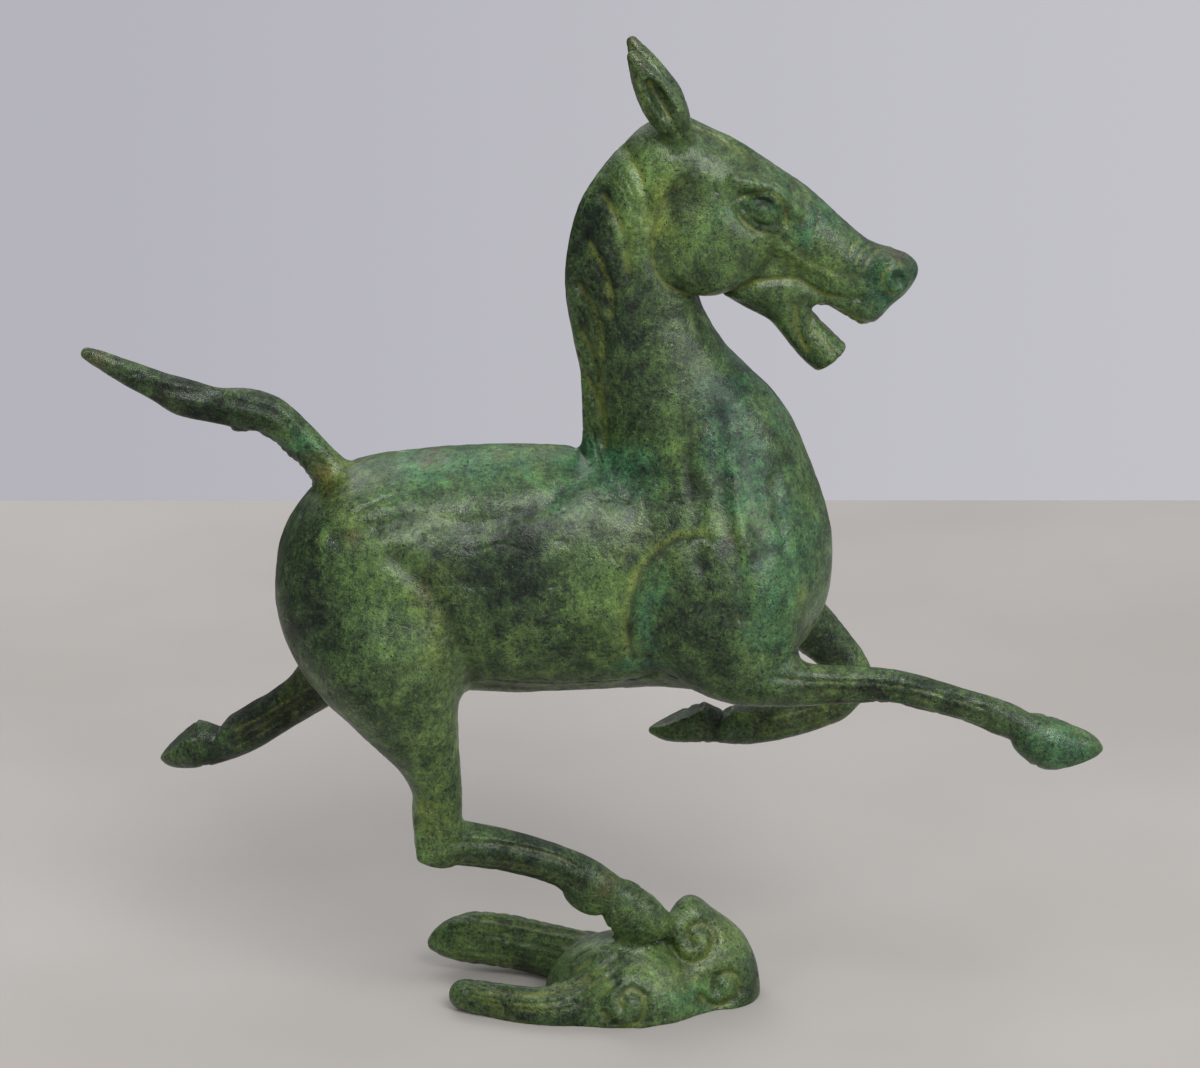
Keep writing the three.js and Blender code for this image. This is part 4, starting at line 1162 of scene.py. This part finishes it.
    # Wax that is thinner and duller in the dark areas, over a finely uneven surface
    rough = n.plus(0.22, stipple, 0.3)
    rough = n.plus(rough, dark, 0.08)
    wax = n.plus(0.25, n.ramp(blotch, 0.36, 0.6), 0.3)
    wax = n.plus(wax, dark, -0.14, clamp=True)
    relief = n.math("MULTIPLY_ADD", stipple, 1.2, n.times(mottle, 3.0))
    uneven = {"Height": relief, "Distance": BUMP_DEPTH}
    bump = n.add("ShaderNodeBump", {**uneven, "Strength": 0.8})
    waxed = n.add("ShaderNodeBump", {**uneven, "Strength": 0.3})

    shader = n.add(
        "ShaderNodeBsdfPrincipled",
        {
            "Base Color": colour,
            "Roughness": rough,
            "Metallic": n.times(bare, 0.6),
            "Normal": bump.outputs[0],
            "Specular IOR Level": 0.18,
            "Coat Weight": wax,
            "Coat Roughness": 0.25,
            "Coat Normal": waxed.outputs[0],
        },
    )
    n.add("ShaderNodeOutputMaterial", {"Surface": shader.outputs[0]})
    return material


TABLE_DARK = (0.400, 0.372, 0.350)
TABLE_LIGHT = (0.440, 0.412, 0.390)


def make_table_paint():
    material = bpy.data.materials.new("pale_table")
    material.use_nodes = True
    n = Nodes(material.node_tree)
    place = n.add("ShaderNodeTexCoord").outputs["Object"]
    cloud = n.add("ShaderNodeTexNoise", {"Vector": place, "Scale": 6.0, "Detail": 3.0}).outputs["Fac"]
    colour = n.tint(n.ramp(cloud, 0.3, 0.7), TABLE_DARK, TABLE_LIGHT)
    matte = {"Base Color": colour, "Roughness": 0.9, "Specular IOR Level": 0.05}
    shader = n.add("ShaderNodeBsdfPrincipled", matte)
    n.add("ShaderNodeOutputMaterial", {"Surface": shader.outputs[0]})
    return material


# The casting


def make_horse():
    mesh = fine_mesh(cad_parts[HORSE])
    mesh.name = "bronze_casting"
    note_patina(mesh)
    mesh.materials.clear()
    mesh.materials.append(make_patina())
    mesh.shade_smooth()
    horse = bpy.data.objects.new("bronze_casting", mesh)
    bpy.context.collection.objects.link(horse)
    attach(horse, "root")
    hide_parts(HORSE)


# The table, the wall behind it and the light

TABLE_BACK = 0.431  # where the table ends and the pale wall begins
TABLE_REACH = 3.0
# The wall's two colours are painted light: shaded at the left, lit at the right
WALL_LEFT_SHADED = (0.455, 0.450, 0.497)
WALL_RIGHT_LIT = (0.545, 0.540, 0.585)
SKY_COLOUR = (0.95, 0.97, 1.0)
SKY_BRIGHTEST = (0.45, 0.15, 0.88)  # the direction that the soft light mostly comes from
SKY_DIMMEST = 0.06
GLOSS_CONTRAST = 1.5  # how much more contrast the room has in reflections


def make_table():
    corners = [(-TABLE_REACH, -TABLE_REACH), (TABLE_REACH, -TABLE_REACH)]
    corners += [(TABLE_REACH, TABLE_BACK), (-TABLE_REACH, TABLE_BACK)]
    mesh = bpy.data.meshes.new("table")
    mesh.from_pydata([(x, y, 0) for x, y in corners], [], [(0, 1, 2, 3)])
    mesh.materials.append(make_table_paint())
    table = bpy.data.objects.new("table", mesh)
    bpy.context.collection.objects.link(table)


def make_world():
    """A pale wall to look at, with painted light that brightens it towards the right, and a room that
    is brightest above and dark in front.
    """
    world = bpy.data.worlds.new("studio")
    bpy.context.scene.world = world
    world.use_nodes = True
    n = Nodes(world.node_tree)
    way = n.add("ShaderNodeTexCoord").outputs["Generated"]
    across = n.add("ShaderNodeSeparateXYZ", {0: way}).outputs["X"]
    # Painted light: the wall grows lighter from left to right
    wall_with_painted_light = n.tint(n.ramp(across, -0.2, 0.2), WALL_LEFT_SHADED, WALL_RIGHT_LIT)
    wall = n.add("ShaderNodeBackground", {"Color": wall_with_painted_light})
    towards = n.add("ShaderNodeVectorMath", {0: way, 1: SKY_BRIGHTEST}, operation="DOT_PRODUCT")
    fall = {"Value": towards.outputs["Value"], "From Min": -0.5, "To Min": SKY_DIMMEST}
    glow = n.add("ShaderNodeMapRange", fall)
    ray = n.add("ShaderNodeLightPath")
    contrast = n.math("MULTIPLY_ADD", ray.outputs["Is Glossy Ray"], GLOSS_CONTRAST, 1.0)
    strength = n.math("POWER", glow.outputs[0], contrast)
    sky = n.add("ShaderNodeBackground", {"Color": (*SKY_COLOUR, 1), "Strength": strength})
    seen = ray.outputs["Is Camera Ray"]
    both = n.add("ShaderNodeMixShader", {0: seen, 1: sky.outputs[0], 2: wall.outputs[0]})
    n.add("ShaderNodeOutputWorld", {"Surface": both.outputs[0]})


def make_light(name, place, size, power, diffuse=True, gloss=True):
    data = bpy.data.lights.new(name, "AREA")
    data.shape = "DISK"
    data.size = size
    data.energy = power
    light = bpy.data.objects.new(name, data)
    light.location = place
    light.rotation_euler = (AIM - Vector(place)).to_track_quat("-Z", "Y").to_euler()
    light.visible_diffuse = diffuse
    light.visible_glossy = gloss
    bpy.context.collection.objects.link(light)


def make_lights():
    """Soft lights that shade the form, and smaller ones that show only as highlights."""
    make_light("key", (0.36, -0.8, 1.0), 0.7, 9, gloss=False)
    make_light("side", (-0.7, -0.8, 0.6), 0.4, 2, gloss=False)
    make_light("back", (-0.5, 0.95, 1.0), 0.8, 4.5)
    make_light("high_glint", (0.1, -0.8, 1.05), 0.3, 13, diffuse=False)
    make_light("right_glint", (0.85, -0.75, 0.6), 0.26, 7, diffuse=False)


make_horse()
make_table()
make_world()
make_lights()
bpy.context.scene.view_settings.view_transform = "Standard"
